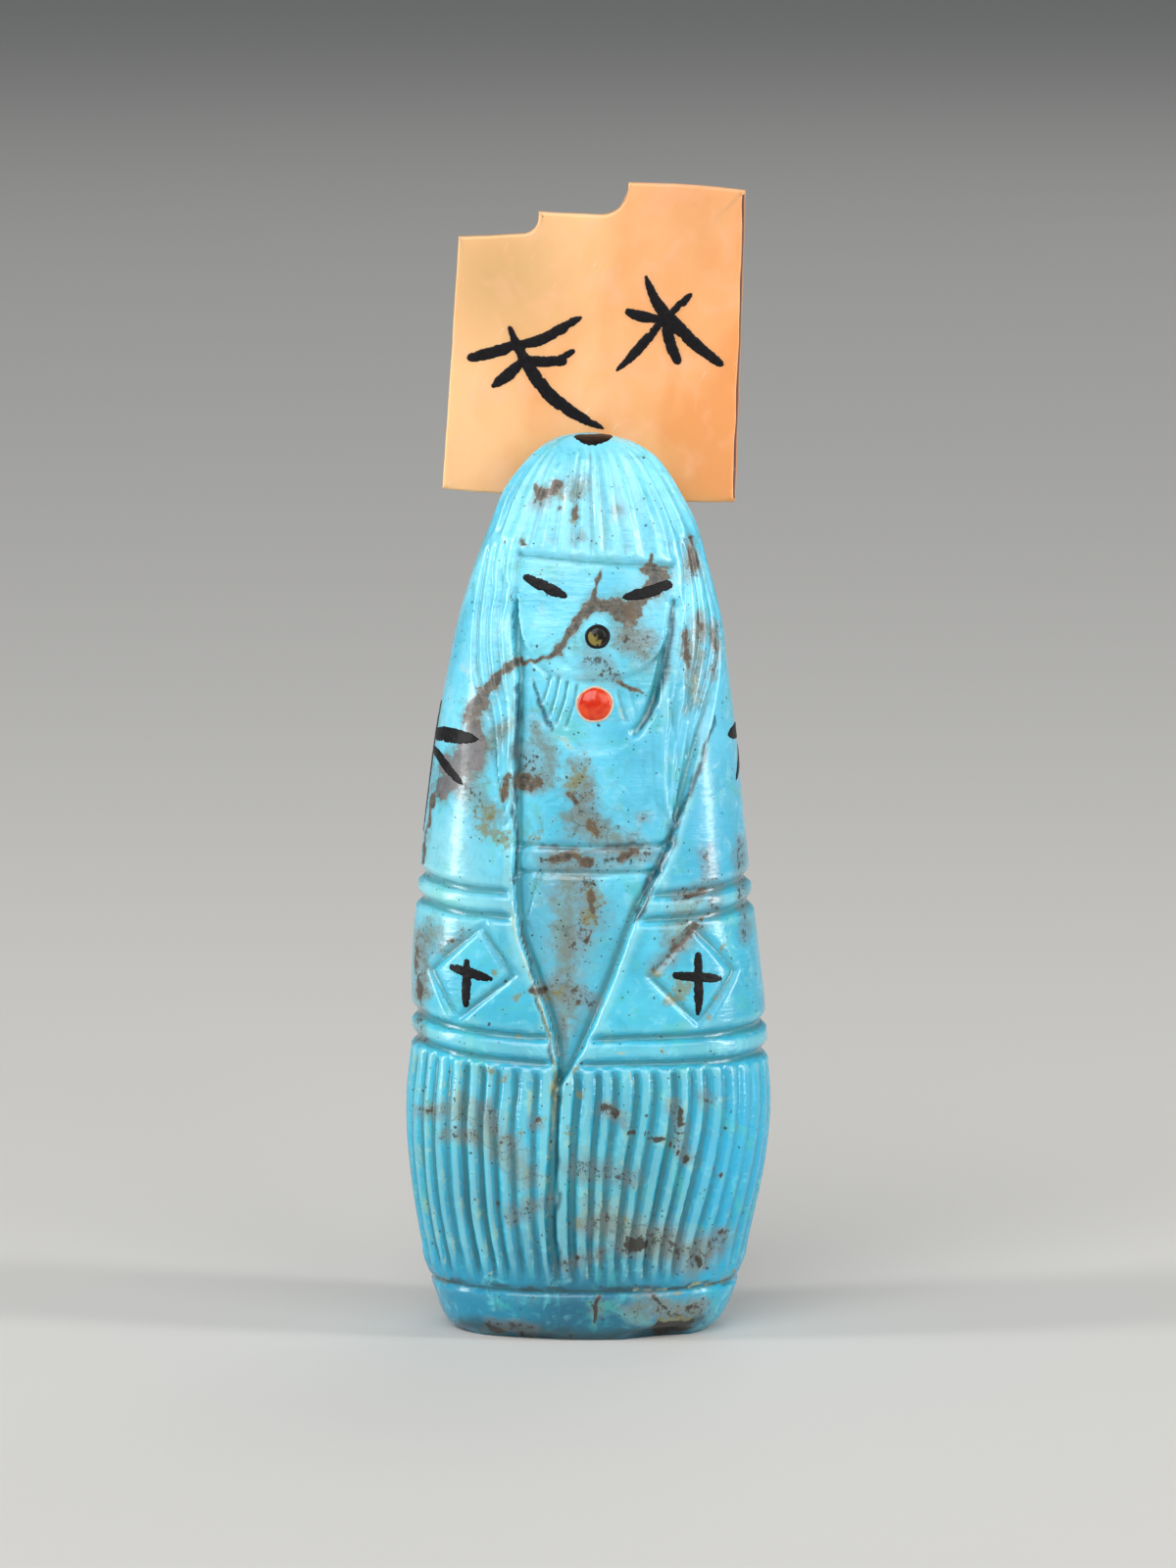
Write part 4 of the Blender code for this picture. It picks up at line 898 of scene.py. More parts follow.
# %% Matrix
MATRIX = [
    [(664, 580, 7), (674, 588, 11), (656, 611, 12), (642, 624, 15), (618, 620, 9), (604, 616, 7),
     (592, 634, 5), (583, 647, 4)],
    [(603, 611, 4), (605, 598, 2), (611, 584, 2)], [(536, 550, 3), (538, 553, 2)],
    [(549, 494, 2), (551, 506, 4), (562, 503, 5), (573, 493, 4)],
    [(573, 518, 3)], [(586, 527, 5), (587, 517, 3)],
    [(583, 647, 4), (576, 657, 4), (569, 663, 4), (560, 670, 2), (545, 675, 2), (536, 675, 3), (528, 672, 6),
     (519, 678, 6), (510, 688, 6), (502, 699, 7), (495, 708, 8), (488, 722, 9)],
    [(486, 720, 8), (482, 736, 10), (484, 757, 13), (476, 774, 17), (462, 787, 16), (448, 808, 9)],
    [(534, 797, 9), (548, 799, 8)], [(517, 795, 4), (517, 815, 5)],
    [(667, 563, 2), (667, 572, 3)],
    [(704, 545, 2), (705, 560, 4), (709, 582, 4)], [(714, 624, 2), (714, 644, 3)],
    [(700, 642, 2), (700, 660, 3), (702, 680, 2)], [(731, 640, 2), (733, 660, 3)], [(728, 686, 3)],
    [(628, 695, 2), (648, 704, 3), (655, 712, 2)],
    [(583, 813, 4), (588, 820, 4)], [(601, 842, 6), (608, 850, 4)], [(656, 835, 2)],
    [(566, 877, 4), (584, 873, 6), (602, 877, 4)], [(633, 874, 4), (648, 871, 4)],
    [(604, 912, 4), (606, 928, 3)], [(606, 948, 2), (600, 962, 2)],
    [(546, 1013, 5), (556, 1012, 4)], [(590, 1019, 3)], [(599, 1010, 2)],
    [(700, 915, 3), (718, 910, 3)], [(711, 944, 4), (697, 958, 4), (686, 969, 3)], [(717, 936, 3)],
    [(461, 958, 3)], [(427, 962, 2), (425, 990, 2), (427, 1020, 2)], [(431, 1062, 3)],
    [(440, 815, 2), (437, 850, 2), (434, 880, 2)], [(437, 1135, 4)], [(453, 1158, 3)],
    [(541, 1146, 2), (552, 1142, 2)], [(619, 1129, 4), (630, 1137, 3)],
    [(634, 1150, 1), (653, 1157, 1), (675, 1166, 2), (709, 1181, 1), (722, 1190, 1), (738, 1202, 2)],
    [(696, 1134, 3), (696, 1148, 3)], [(697, 1183, 4)], [(507, 1230, 3)], [(566, 1223, 2)], [(530, 1259, 2)],
    [(646, 1269, 10), (655, 1270, 6)], [(678, 1258, 3)], [(712, 1286, 6)], [(739, 1259, 4)],
    [(612, 1279, 3)], [(589, 1281, 3)], [(608, 1331, 3), (606, 1350, 2)], [(668, 1324, 3)],
    [(668, 1355, 3), (690, 1355, 4), (706, 1350, 3)], [(703, 1334, 3)], [(671, 1327, 2), (683, 1338, 3)],
    [(497, 1355, 3), (512, 1360, 3)], [(531, 1362, 3)], [(585, 1362, 3)], [(612, 1318, 2), (606, 1334, 2)],
]
print("chains of matrix:", len(MATRIX))

# %% [markdown]
# Round the matrix the stone is peppered with black specks, and ochre has soaked into it in
# spots. Both are drawn in the same way.

# %% Specks and ochre
SPRINKLE = [
    [(548, 512, 8), (560, 507, 9), (573, 499, 8)], [(590, 545, 7)],
    [(590, 813, 17), (606, 843, 15)], [(537, 772, 13), (546, 800, 13)], [(640, 655, 12), (660, 652, 9)],
    [(600, 672, 16), (625, 690, 10)], [(655, 833, 8)], [(470, 800, 16), (500, 830, 14)],
    [(556, 876, 11), (610, 878, 12), (664, 872, 10)], [(600, 903, 16), (606, 935, 14), (588, 965, 12)],
    [(556, 1008, 11), (590, 1012, 12), (603, 1024, 9)], [(575, 1045, 8)],
    [(690, 914, 8), (716, 910, 10), (738, 902, 6)], [(716, 942, 9), (696, 962, 10), (670, 988, 10)],
    [(720, 870, 10), (728, 930, 9)], [(455, 965, 8), (472, 950, 7)],
    [(428, 955, 7), (428, 1010, 7), (428, 1060, 6)],
    [(430, 1135, 8), (448, 1134, 7)], [(450, 1160, 7), (482, 1160, 6)], [(497, 1130, 8), (518, 1168, 8)],
    [(545, 1145, 8)], [(619, 1130, 9), (634, 1142, 7)], [(690, 1130, 8), (697, 1178, 8)], [(720, 1120, 12)],
    [(640, 1270, 14), (680, 1262, 12), (706, 1290, 16), (738, 1262, 11)], [(622, 1245, 10), (598, 1250, 7)],
    [(520, 1240, 10), (560, 1226, 8)], [(574, 1290, 7), (612, 1280, 9)], [(590, 1190, 14), (640, 1200, 12)],
    [(608, 1335, 9)], [(664, 1322, 8), (682, 1345, 11), (714, 1338, 11)], [(500, 1352, 8), (545, 1358, 6)],
    [(702, 548, 6), (708, 588, 7)], [(714, 626, 6), (716, 652, 5)], [(700, 645, 5), (702, 682, 5)],
    [(731, 638, 6), (733, 668, 6), (727, 690, 6)], [(485, 738, 14)], [(755, 860, 8), (760, 960, 7)],
]
OCHRE = [
    [(645, 622, 9)], [(648, 628, 6)], [(590, 524, 5)], [(584, 530, 6)], [(572, 505, 6)],
    [(502, 827, 16), (494, 848, 14), (512, 856, 12)],
    [(516, 805, 9)], [(590, 790, 11), (582, 805, 8)],
    [(604, 846, 8)], [(590, 872, 8)], [(548, 853, 9)],
    [(569, 1010, 8)], [(560, 1016, 6)], [(507, 995, 6)], [(526, 1020, 6)], [(528, 1057, 4)],
    [(674, 994, 7)], [(694, 1010, 13), (690, 998, 8)], [(684, 1020, 8), (704, 1004, 8)],
    [(731, 1019, 6)], [(737, 965, 6)], [(722, 1040, 5)],
    [(606, 915, 13)], [(600, 935, 12)], [(673, 1075, 5)],
    [(584, 1092, 6)], [(430, 1118, 5)], [(459, 1116, 4)], [(581, 1156, 6)], [(531, 1157, 6)],
    [(508, 1162, 5)], [(590, 1118, 7)], [(553, 1142, 5)], [(696, 1143, 6)], [(640, 1247, 4)],
    [(593, 1246, 5)], [(452, 1305, 6)], [(498, 1092, 6)], [(513, 1100, 5)],
    [(650, 1322, 2), (700, 1316, 2), (720, 1311, 3), (748, 1300, 3)],
    [(672, 1351, 5), (704, 1347, 5)], [(516, 1358, 3)],
]
print("patches of specks:", len(SPRINKLE), "spots of ochre:", len(OCHRE))

# %% [markdown]
# Grey veils cloud the blue. Painted shade darkens the deepest grooves, the hollows beside the
# face and the bottom of the foot, where they look darker than their depth alone makes them.
# A cream colour follows a few edges: partly real stain and glue, and partly a painted
# highlight on the lit lips just below grooves and along the top of the foot.

# %% Veils, painted shade, stain and highlight
VEIL = [
    [(470, 800, 16), (500, 760, 14), (520, 740, 10)],
    [(545, 745, 14), (560, 775, 16), (560, 800, 12)],
    [(590, 835, 26), (640, 862, 20)], [(590, 780, 14), (597, 815, 18)],
    [(580, 900, 26), (580, 960, 26), (575, 1030, 20), (572, 1070, 12)],
    [(700, 925, 22), (690, 960, 18)], [(640, 650, 22), (660, 670, 14)],
    [(590, 500, 16)], [(630, 520, 10)], [(715, 640, 14), (706, 720, 10)],
    [(610, 1240, 24), (680, 1270, 26), (720, 1280, 16)], [(470, 1130, 24), (540, 1200, 16)],
    [(650, 1335, 16), (710, 1335, 12)], [(440, 950, 14), (430, 1010, 12)],
]
# Painted shade: dark lines and patches in the deepest grooves, in the hollows beside the face, and along the
# bottom of the foot.
SHADE = [
    [(523, 600, 1), (523, 625, 2), (524, 655, 1)],
    [(527, 700, 4), (528, 745, 5), (528, 790, 6), (528, 812, 5), (526, 850, 4), (525, 900, 3)],
    [(532, 940, 2), (540, 985, 3), (554, 1040, 3), (565, 1085, 4)],
    [(568, 1100, 5), (568, 1200, 4), (569, 1290, 4)],
    [(687, 612, 3), (684, 640, 5), (680, 680, 7), (669, 715, 7), (655, 742, 3)],
    [(730, 730, 2), (716, 775, 4), (700, 815, 6), (684, 862, 5), (667, 897, 5), (645, 940, 3)],
    [(543, 696, 3), (552, 722, 4), (566, 744, 4)],
    [(556, 865, 4), (600, 868, 4), (655, 864, 4)],
    [(452, 1305, 3), (560, 1317, 3), (650, 1316, 3), (745, 1306, 3)],
    [(470, 1350, 9), (500, 1356, 12), (540, 1359, 12), (600, 1364, 8), (680, 1358, 10), (716, 1347, 8)],
]
# Cream stain and glue, and a painted highlight along lit lips just below grooves and along the top of the
# foot.
STAIN_AND_HIGHLIGHT = [
    [(573, 752, 3), (580, 757, 5), (586, 763, 3)], [(712, 690, 2), (711, 717, 2)],
    [(629, 706, 1), (634, 720, 1), (636, 732, 2)], [(649, 613, 2), (661, 611, 2)],
    [(643, 1319, 2), (690, 1315, 2), (730, 1311, 2), (748, 1307, 2)], [(441, 1306, 4), (452, 1309, 3)],
    [(565, 1072, 2), (566, 1110, 3), (567, 1140, 1)], [(622, 1074, 3), (640, 1073, 2)], [(673, 1075, 4)],
]
print("veils:", len(VEIL), "lines of shade:", len(SHADE), "lines of stain:", len(STAIN_AND_HIGHLIGHT))

# %% [markdown]
# All six kinds become fields on the points of the stone: above 0 inside a mark and below 0
# outside. The places are shaken first, so no line stays straight. Behind the figure, where
# nothing is known, a few marks are scattered from the seeded lattice.

# %% Fields of the marks
RAGGED = [(4.0, 1.3 * MM), (2.5, 0.45 * MM)]
RAGGED_SEEDS = (10, 12)
MARK_FADE = 0.3
BACK_MARK_SIZE = 5.5 * MM
BACK_SEEDS = (20, 23)
BACK_RARITY = (1.7, 1.7, 1.7, 1.7, 3.0, 3.0)


def marks_on(points, front):
    """Fields of matrix, ochre, veil, sprinkled specks, painted shade, and stain with painted highlight,
    above 0 inside a mark.
    """
    across, down = on_picture(points)
    for number, (steps, size) in enumerate(RAGGED):
        across = across + steps * wobble(points, size, RAGGED_SEEDS[0] + number)
        down = down + steps * wobble(points, size, RAGGED_SEEDS[1] + number)
    fields = []
    for number, chains in enumerate((MATRIX, OCHRE, VEIL, SPRINKLE, SHADE, STAIN_AND_HIGHLIGHT)):
        field = np.full(across.shape, -1.0)
        for chain in chains:
            field = np.maximum(field, chain_field(across, down, chain))
        coarse = wobble(points, BACK_MARK_SIZE, BACK_SEEDS[0] + number)
        fine = wobble(points, BACK_MARK_SIZE / 3, BACK_SEEDS[1] + number)
        scattered = 2 * (coarse + fine / 2) - BACK_RARITY[number]
        fields.append(field * front + (1 - front) * scattered)
    return fields


front = ramp(-normal[..., 1], MARK_FADE)
mark_fields = marks_on(carved, front)
matrix_field, ochre_field, veil_field, sprinkle_field, shade_field, stain_and_highlight_field = mark_fields
print("share of the stone in matrix:", round(float(np.mean(matrix_field > 0)), 3))

# %% [markdown]
# Grooves are painted darker, partly for the wax and dust that they hold and partly as painted
# shade, and ridges are painted paler as a painted highlight. To find them, the depth of cut is
# compared with its own average over a square of cells: a groove is deeper than its
# surroundings, a ridge is shallower. The yellow-green lips along the left edge of the shawl and
# along the flutes are marked as well.

# %% Grooves and lips
BLUR_CELLS = 5
CAVITY_DEPTH = 0.24 * MM
LIP_WIDTH = 0.24 * MM
LIP_HEIGHTS = (22.0, 50.0)
LIP_FADES = (3 * MM, 6 * MM)
FLUTE_LIP_WIDTH = 0.17 * MM
FLUTE_LIP_FROM = 0.9
FLUTE_LIP_MOST = 0.8


def blurred(field, cells):
    """Average over a square of cells, closed round the stone."""
    wrapped = np.pad(field, ((0, 0), (cells, cells)), mode="wrap")
    wrapped = np.pad(wrapped, ((cells, cells), (0, 0)), mode="edge")
    for axis in (0, 1):
        total = np.cumsum(wrapped, axis=axis)
        total = np.insert(total, 0, 0, axis=axis)
        span = 2 * cells + 1
        high = np.take(total, range(span, total.shape[axis]), axis=axis)
        low = np.take(total, range(total.shape[axis] - span), axis=axis)
        wrapped = (high - low) / span
    return wrapped


cavity = np.clip((cut_depth - blurred(cut_depth, BLUR_CELLS)) / CAVITY_DEPTH, -1, 1)
row_heights = row_values[2] * np.ones_like(share_grid)
row_girth = GIRTH[-1] * row_values[0]
lip_line = (edge_at(LEFT_EDGE, row_heights) - share_grid) * row_girth
lip = np.clip(1 - np.abs(lip_line - LIP_WIDTH / 2) / LIP_WIDTH, 0, 1)
low, high = (height_of(value) for value in LIP_HEIGHTS)
lip = lip * ramp(row_heights - low, LIP_FADES[0]) * ramp(high - row_heights, LIP_FADES[1])
flute_place = shaken(point, share_grid, row_values[0], row_values[2])
flute_line, flute_pitch, flute_depth, _, _ = flutes_at(*flute_place)
flute_edge = np.abs(flute_line + FLUTE_STEEP_SHARE * flute_pitch) / FLUTE_LIP_WIDTH
flute_strength = np.clip(flute_depth / FRINGE_SIDE_DEPTH - FLUTE_LIP_FROM, 0, FLUTE_LIP_MOST)
flute_lip = np.clip(1 - flute_edge, 0, 1) * flute_strength
lip = np.maximum(lip, flute_lip)
print("deepest cut in mm:", round(float(depth.max()) / MM, 2))

# %% [markdown]
# One function makes every piece: it takes points, faces and a material, rides on the model's
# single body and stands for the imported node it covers. A second one writes numbers to the
# mesh, where the shaders can read them.

# %% Making a piece


def new_piece(name, points, faces, material, node):
    """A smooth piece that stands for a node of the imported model."""
    mesh = bpy.data.meshes.new(name)
    mesh.from_pydata([tuple(place) for place in points], [], faces)
    mesh.validate()
    mesh.shade_smooth()
    mesh.materials.append(material)
    made = bpy.data.objects.new(name, mesh)
    bpy.context.scene.collection.objects.link(made)
    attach(made, "root")
    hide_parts(node)
    return made


def write_values(piece, name, *fields):
    """Keeps up to three numbers for each point of a piece, as a vector its shader reads."""
    layer = piece.data.attributes.new(name, "FLOAT_VECTOR", "POINT")
    values = np.zeros((len(piece.data.vertices), 3), np.float32)
    for column, field in enumerate(fields):
        values[:np.size(field), column] = np.ravel(field)
    layer.data.foreach_set("vector", values.ravel())

# %% [markdown]
# A material is a small tree of nodes. Colours are written as screens show them, in hex, and
# turned to the linear values that light needs. Every pattern reads its place in millimetres,
# so its scale is one divided by a real size.

# %% Making a material


def linear(hex_colour):
    """An sRGB hex colour as the linear colour that shaders use."""
    parts = [int(hex_colour[place:place + 2], 16) / 255 for place in (1, 3, 5)]
    parts = [part / 12.92 if part <= 0.04045 else ((part + 0.055) / 1.055) ** 2.4 for part in parts]
    return (*parts, 1.0)


def add(tree, kind, inputs=None, out=0, **settings):
    """Adds a shader node, its inputs a value or a socket each; gives the output that out names."""
    made = tree.nodes.new("ShaderNode" + kind)
    for name, value in settings.items():
        setattr(made, name, value)
    for name, value in (inputs or {}).items():
        if isinstance(value, bpy.types.NodeSocket):
            tree.links.new(value, made.inputs[name])
        else:
            made.inputs[name].default_value = value
    return made.outputs if out is None else made.outputs[out]


def new_material(name):
    """An empty material: its node tree, its shader, and its coordinates in millimetres."""
    made = bpy.data.materials.new(name)
    made.use_nodes = True
    tree = made.node_tree
    shader = tree.nodes["Principled BSDF"]
    place = add(tree, "TexCoord", out="Object")
    place = add(tree, "VectorMath", {0: place, "Scale": 1 / MM}, operation="SCALE")
    return made, tree, shader, place


print("middle grey on a screen is", round(linear("#808080")[0], 3), "of white in light")

# %% [markdown]
# Turquoise is a soft, slightly porous copper mineral. Polished with wax it is glossy but never
# glassy, and light sinks a little way in. Its shader starts with noises of real sizes, from
# clouds of 7 mm to grain of 0.4 mm, and adds them to the values that the mesh keeps. That
# breaks the edges of every mark up.

# %% Polished turquoise
turquoise, tree, shader, place = new_material("polished_turquoise")
marks = add(tree, "SeparateXYZ", {
    0: add(tree, "Attribute", attribute_name="marks", out="Vector")}, out=None)
relief = add(tree, "SeparateXYZ", {
    0: add(tree, "Attribute", attribute_name="relief", out="Vector")}, out=None)
shade_stain_and_highlight = add(tree, "SeparateXYZ", {
    0: add(tree, "Attribute", attribute_name="shade_stain_and_highlight", out="Vector")}, out=None)
up = add(tree, "SeparateXYZ", {0: place}, out="Z")

STONE_NOISES = {
    "cloud": (7.0, 3.0, 0.55, 0.4), "smear": (2.8, 4.0, 0.6, 0.9), "mottle": (1.5, 5.0, 0.62, 0.8),
    "feather": (1.3, 7.0, 0.7, 0.5), "grain": (0.4, 4.0, 0.7, 0.0),
}
noises = {}
for name, (size, detail, roughness, distortion) in STONE_NOISES.items():
    noises[name] = add(tree, "TexNoise", {
        "Vector": place, "Scale": 1 / size, "Detail": detail, "Roughness": roughness,
        "Distortion": distortion}, out=None)
cloud, smear, mottle, feather, grain = (noises[name][0] for name in STONE_NOISES)
ragged = add(tree, "Mix", {0: 0.4, 2: feather, 3: grain})

# Each field adds a noise times a strength to a value that the mesh keeps, centred on that value.
STONE_FIELDS = {
    "veil": (marks["Z"], smear, 3.0), "halo": (marks["X"], feather, 3.2),
    "matrix": (marks["X"], ragged, 3.2), "ochre": (marks["Y"], grain, 4.0),
    "groove": (relief["X"], mottle, 1.2), "lip": (relief["Y"], mottle, 2.4),
    "moss": (marks["Z"], ragged, 5.0), "rock": (marks["X"], grain, 5.0),
    "sprinkle": (relief["Z"], grain, 7.0), "dust": (relief["Z"], feather, 2.6),
    "shade": (shade_stain_and_highlight["X"], feather, 0.6), "stain_and_highlight": (shade_stain_and_highlight["Y"], ragged, 2.4),
}
fields = {}
for name, (value, noise, strength) in STONE_FIELDS.items():
    centred = add(tree, "Math", {0: noise, 1: strength, 2: -strength / 2}, operation="MULTIPLY_ADD")
    fields[name] = add(tree, "Math", {0: centred, 1: value}, operation="ADD")
print("noises:", len(noises), "fields:", len(fields))

# %% [markdown]
# Fine black specks lie in the stone like pepper, more of them in the grey veils. They are dots
# in cells of three sizes in millimetres, and a random value of each cell decides whether its
# dot is kept. Hair-fine veins run along the borders of larger, bent cells.

# %% Specks and fine veins
SPECK_SHIFT = (0.35,) * 3
SPECKS = [(1.1, 0.14, 1.42), (0.6, 0.17, 1.5), (0.38, 0.22, 1.58)]
SPECKS_IN_PATCHES = 1.6
SPECKS_IN_VEILS = 0.12
VEIN_BEND = (2.2,) * 3
VEIN_PITCH = 3.6
VEIN_WIDTH = 0.035
crooked = add(tree, "VectorMath", {
    0: noises["grain"][1], 1: SPECK_SHIFT, 2: place}, operation="MULTIPLY_ADD")
for pitch, radius, rarity in SPECKS:
    cells = add(tree, "TexVoronoi", {"Vector": crooked, "Scale": 1 / pitch}, out=None)
    dot = add(tree, "MapRange", {0: cells["Distance"], 1: radius, 2: radius / 2})
    chance = add(tree, "SeparateColor", {0: cells["Color"]})
    for more, strength in ((smear, SPECKS_IN_PATCHES), (marks["Z"], SPECKS_IN_VEILS)):
        chance = add(tree, "Math", {
            0: more, 1: strength, 2: chance}, operation="MULTIPLY_ADD")
    picked = add(tree, "Math", {0: chance, 1: rarity}, operation="GREATER_THAN")
    dot = add(tree, "Math", {0: dot, 1: picked}, operation="MULTIPLY")
    before = fields.get("speck", 0.0)
    fields["speck"] = add(tree, "Math", {0: dot, 1: before}, operation="MAXIMUM")
bent = add(tree, "VectorMath", {
    0: noises["mottle"][1], 1: VEIN_BEND, 2: place}, operation="MULTIPLY_ADD")
cells = add(tree, "TexVoronoi", {
    "Vector": bent, "Scale": 1 / VEIN_PITCH}, feature="DISTANCE_TO_EDGE", out=None)
line = add(tree, "MapRange", {0: cells["Distance"], 1: VEIN_WIDTH, 2: 0.0})
there = add(tree, "MapRange", {0: fields["veil"], 1: -0.5, 2: 0.6})
fields["vein"] = add(tree, "Math", {0: line, 1: there}, operation="MULTIPLY")
print("cells of the specks in mm:", [pitch for pitch, _, _ in SPECKS])

# %% [markdown]
# The matrix is what is left of the host rock: grey-brown at its edge, darker inside, and rusty
# where ochre meets it. On the left shoulder it turns a cold lilac grey, and it is almost black
# low down on the figure.

# %% Host rock
ROCK = [(0.05, "#7d796a"), (0.28, "#6a6153"), (0.46, "#50473c"), (0.6, "#5f4a30"), (0.74, "#332d26")]
rock = add(tree, "ValToRGB", {
    0: add(tree, "MapRange", {0: fields["rock"], 1: -0.6, 2: 1.5})})
stops = rock.node.color_ramp.elements
for number, (position, colour) in enumerate(ROCK):
    stop = stops[number] if number < 2 else stops.new(position)
    stop.position = position
    stop.color = linear(colour)
SHOULDER = (-8.9, -4.5, 40.3)
shoulder = add(tree, "VectorMath", {0: place, 1: SHOULDER}, operation="DISTANCE", out="Value")
shoulder = add(tree, "MapRange", {0: shoulder, 1: 3.6, 2: 2.4, 4: 0.8})
lilac = add(tree, "Mix", {
    0: add(tree, "MapRange", {0: ragged, 1: 0.38, 2: 0.6}),
    6: linear("#4a474b"), 7: linear("#7f7c80")}, data_type="RGBA", out=2)
rock = add(tree, "Mix", {0: shoulder, 6: rock, 7: lilac}, data_type="RGBA", out=2)
rusty = add(tree, "MapRange", {0: fields["ochre"], 1: 0.0, 2: 0.9, 4: 0.55})
rock = add(tree, "Mix", {0: rusty, 6: rock, 7: linear("#6e5332")}, data_type="RGBA", out=2)
darker = add(tree, "MapRange", {0: up, 1: 36.0, 2: 14.0, 4: 0.8})
rock = add(tree, "Mix", {0: darker, 6: rock, 7: linear("#1d1c19")}, data_type="RGBA", out=2)
print("colours of the rock:", len(ROCK))

# %% [markdown]
# The blue drifts from cloud to cloud, and from pale sky near the head to a deep greenish blue
# at the foot; that deepening is partly the stone's own tone and partly painted shade. A few
# broad regions are paler, greener or deeper, as in any block of natural stone, except that the
# pale one on the left shoulder is a painted highlight and the deep one round the foot is
# painted shade. Each has a centre and a radius in millimetres, how much it covers, and its
# colour.

# %% Blues of the stone
drift = add(tree, "MapRange", {0: cloud, 1: 0.36, 2: 0.64})
blues = [add(tree, "Mix", {0: drift, 6: linear(dark), 7: linear(light)}, data_type="RGBA", out=2)
         for dark, light in (("#58c3e0", "#84e2f8"), ("#0f88b0", "#27a6d0"))]
# The deepening of the blue towards the foot is partly painted shade.
low_share = add(tree, "MapRange", {0: up, 1: 52.0, 2: 3.0})
blue = add(tree, "Mix", {0: low_share, 6: blues[0], 7: blues[1]}, data_type="RGBA", out=2)
STONE_REGIONS = [
    ((11.0, -6.0, 12.0), 9.0, 0.65, "#1fb0e2"), ((10.0, -6.0, 38.0), 9.0, 0.6, "#4aa6cb"),
    # The pale region on the left shoulder is a painted highlight; the deep one round the foot is painted
    # shade.
    ((-10.5, -5.0, 33.0), 6.0, 0.5, "#b7e6ec"), ((0.0, -9.0, 0.0), 10.0, 0.85, "#0a5876"),
    ((1.5, -8.5, 11.0), 7.0, 0.4, "#3f8896"),
    ((0.0, -8.0, 59.0), 8.0, 0.35, "#b6f3f9"), ((5.0, -8.0, 47.0), 5.0, 0.35, "#56a8b4"),
    ((-2.0, -9.0, 30.0), 6.0, 0.35, "#7d9db0"),
]
for centre, radius, most, colour in STONE_REGIONS:
    reach = add(tree, "VectorMath", {0: place, 1: centre}, operation="DISTANCE", out="Value")
    reach = add(tree, "Math", {0: mottle, 1: 4.0, 2: reach}, operation="MULTIPLY_ADD")
    share = add(tree, "MapRange", {0: reach, 1: radius + 2, 2: radius / 3 + 2, 4: most})
    blue = add(tree, "Mix", {0: share, 6: blue, 7: linear(colour)}, data_type="RGBA", out=2)
print("regions of blue:", len(STONE_REGIONS))

# %% [markdown]
# Everything else is laid over the blue, one layer after another. A layer has the value that
# places it, the two limits between which it fades in, how much it covers, and its colour. A
# few multiply what lies below instead of covering it.

# %% Layers of colour
# The groove colour is painted shade in the grooves, partly their wax and dust, and it grows darker towards
# the foot.
groove = add(tree, "Mix", {
    0: low_share, 6: linear("#409aa4"), 7: linear("#115a64")}, data_type="RGBA", out=2)
STONE_LAYERS = [
    (mottle, 0.52, 0.75, 0.5, "#b9e8f3"), (mottle, 0.47, 0.28, 0.5, "#3ba5bd"),
    (smear, 0.52, 0.7, 0.5, "#62bcb2"), (low_share, 0.0, 1.0, 0.9, "#94fcf5", "MULTIPLY"),
    (fields["veil"], -0.35, 0.75, 0.5, "#7f979f"), (fields["moss"], 0.0, 1.2, 0.75, "#6f7b69"),
    # The groove entry paints shade into the grooves, partly standing for their wax and dust.
    (fields["halo"], -1.0, 0.2, 0.5, "#668782"), (fields["groove"], 0.05, 0.9, 0.75, groove),
    # The pale ridge entry is a painted highlight, and the shade entry is painted shade.
    (relief["X"], -0.15, -0.9, 0.35, "#a5e4e4"), (fields["shade"], -0.3, 1.0, 0.85, "#1d5866"),
    (fields["lip"], 0.3, 1.0, 0.5, "#a9b07e"), (fields["dust"], -0.7, 0.8, 0.5, "#757670"),
    (fields["sprinkle"], 0.85, 1.5, 0.85, "#383029"), (fields["vein"], 0.0, 1.0, 0.4, "#3d4f51"),
    # The stain entry is real stain and glue, and partly a painted highlight on lit lips.
    (fields["ochre"], 0.0, 0.9, 0.75, "#7f7c4a"), (fields["stain_and_highlight"], 0.1, 1.0, 0.65, "#bab584"),
    (fields["matrix"], 0.0, 0.22, 0.95, rock),
    # More painted shade in the grooves and hollows, laid over the matrix.
    (fields["shade"], 0.0, 1.3, 0.5, "#4f7379", "MULTIPLY"),
    (fields["speck"], 0.0, 1.0, 0.85, "#2c2a26"),
]
for source, low, high, most, colour, *blend in STONE_LAYERS:
    share = add(tree, "MapRange", {
        0: source, 1: low, 2: high, 4: most}, interpolation_type="SMOOTHSTEP")
    colour = linear(colour) if isinstance(colour, str) else colour
    blue = add(tree, "Mix", {
        0: share, 6: blue, 7: colour}, data_type="RGBA", blend_type=(blend or ["MIX"])[0], out=2)
tree.links.new(blue, shader.inputs["Base Color"])
print("layers over the blue:", len(STONE_LAYERS))

# %% [markdown]
# Matrix takes less polish than turquoise. Level scratches, grain and slow ripples from the
# wheel are too fine for the mesh and show only in the highlights, so they are bumps. A thin
# coat stands for the wax.

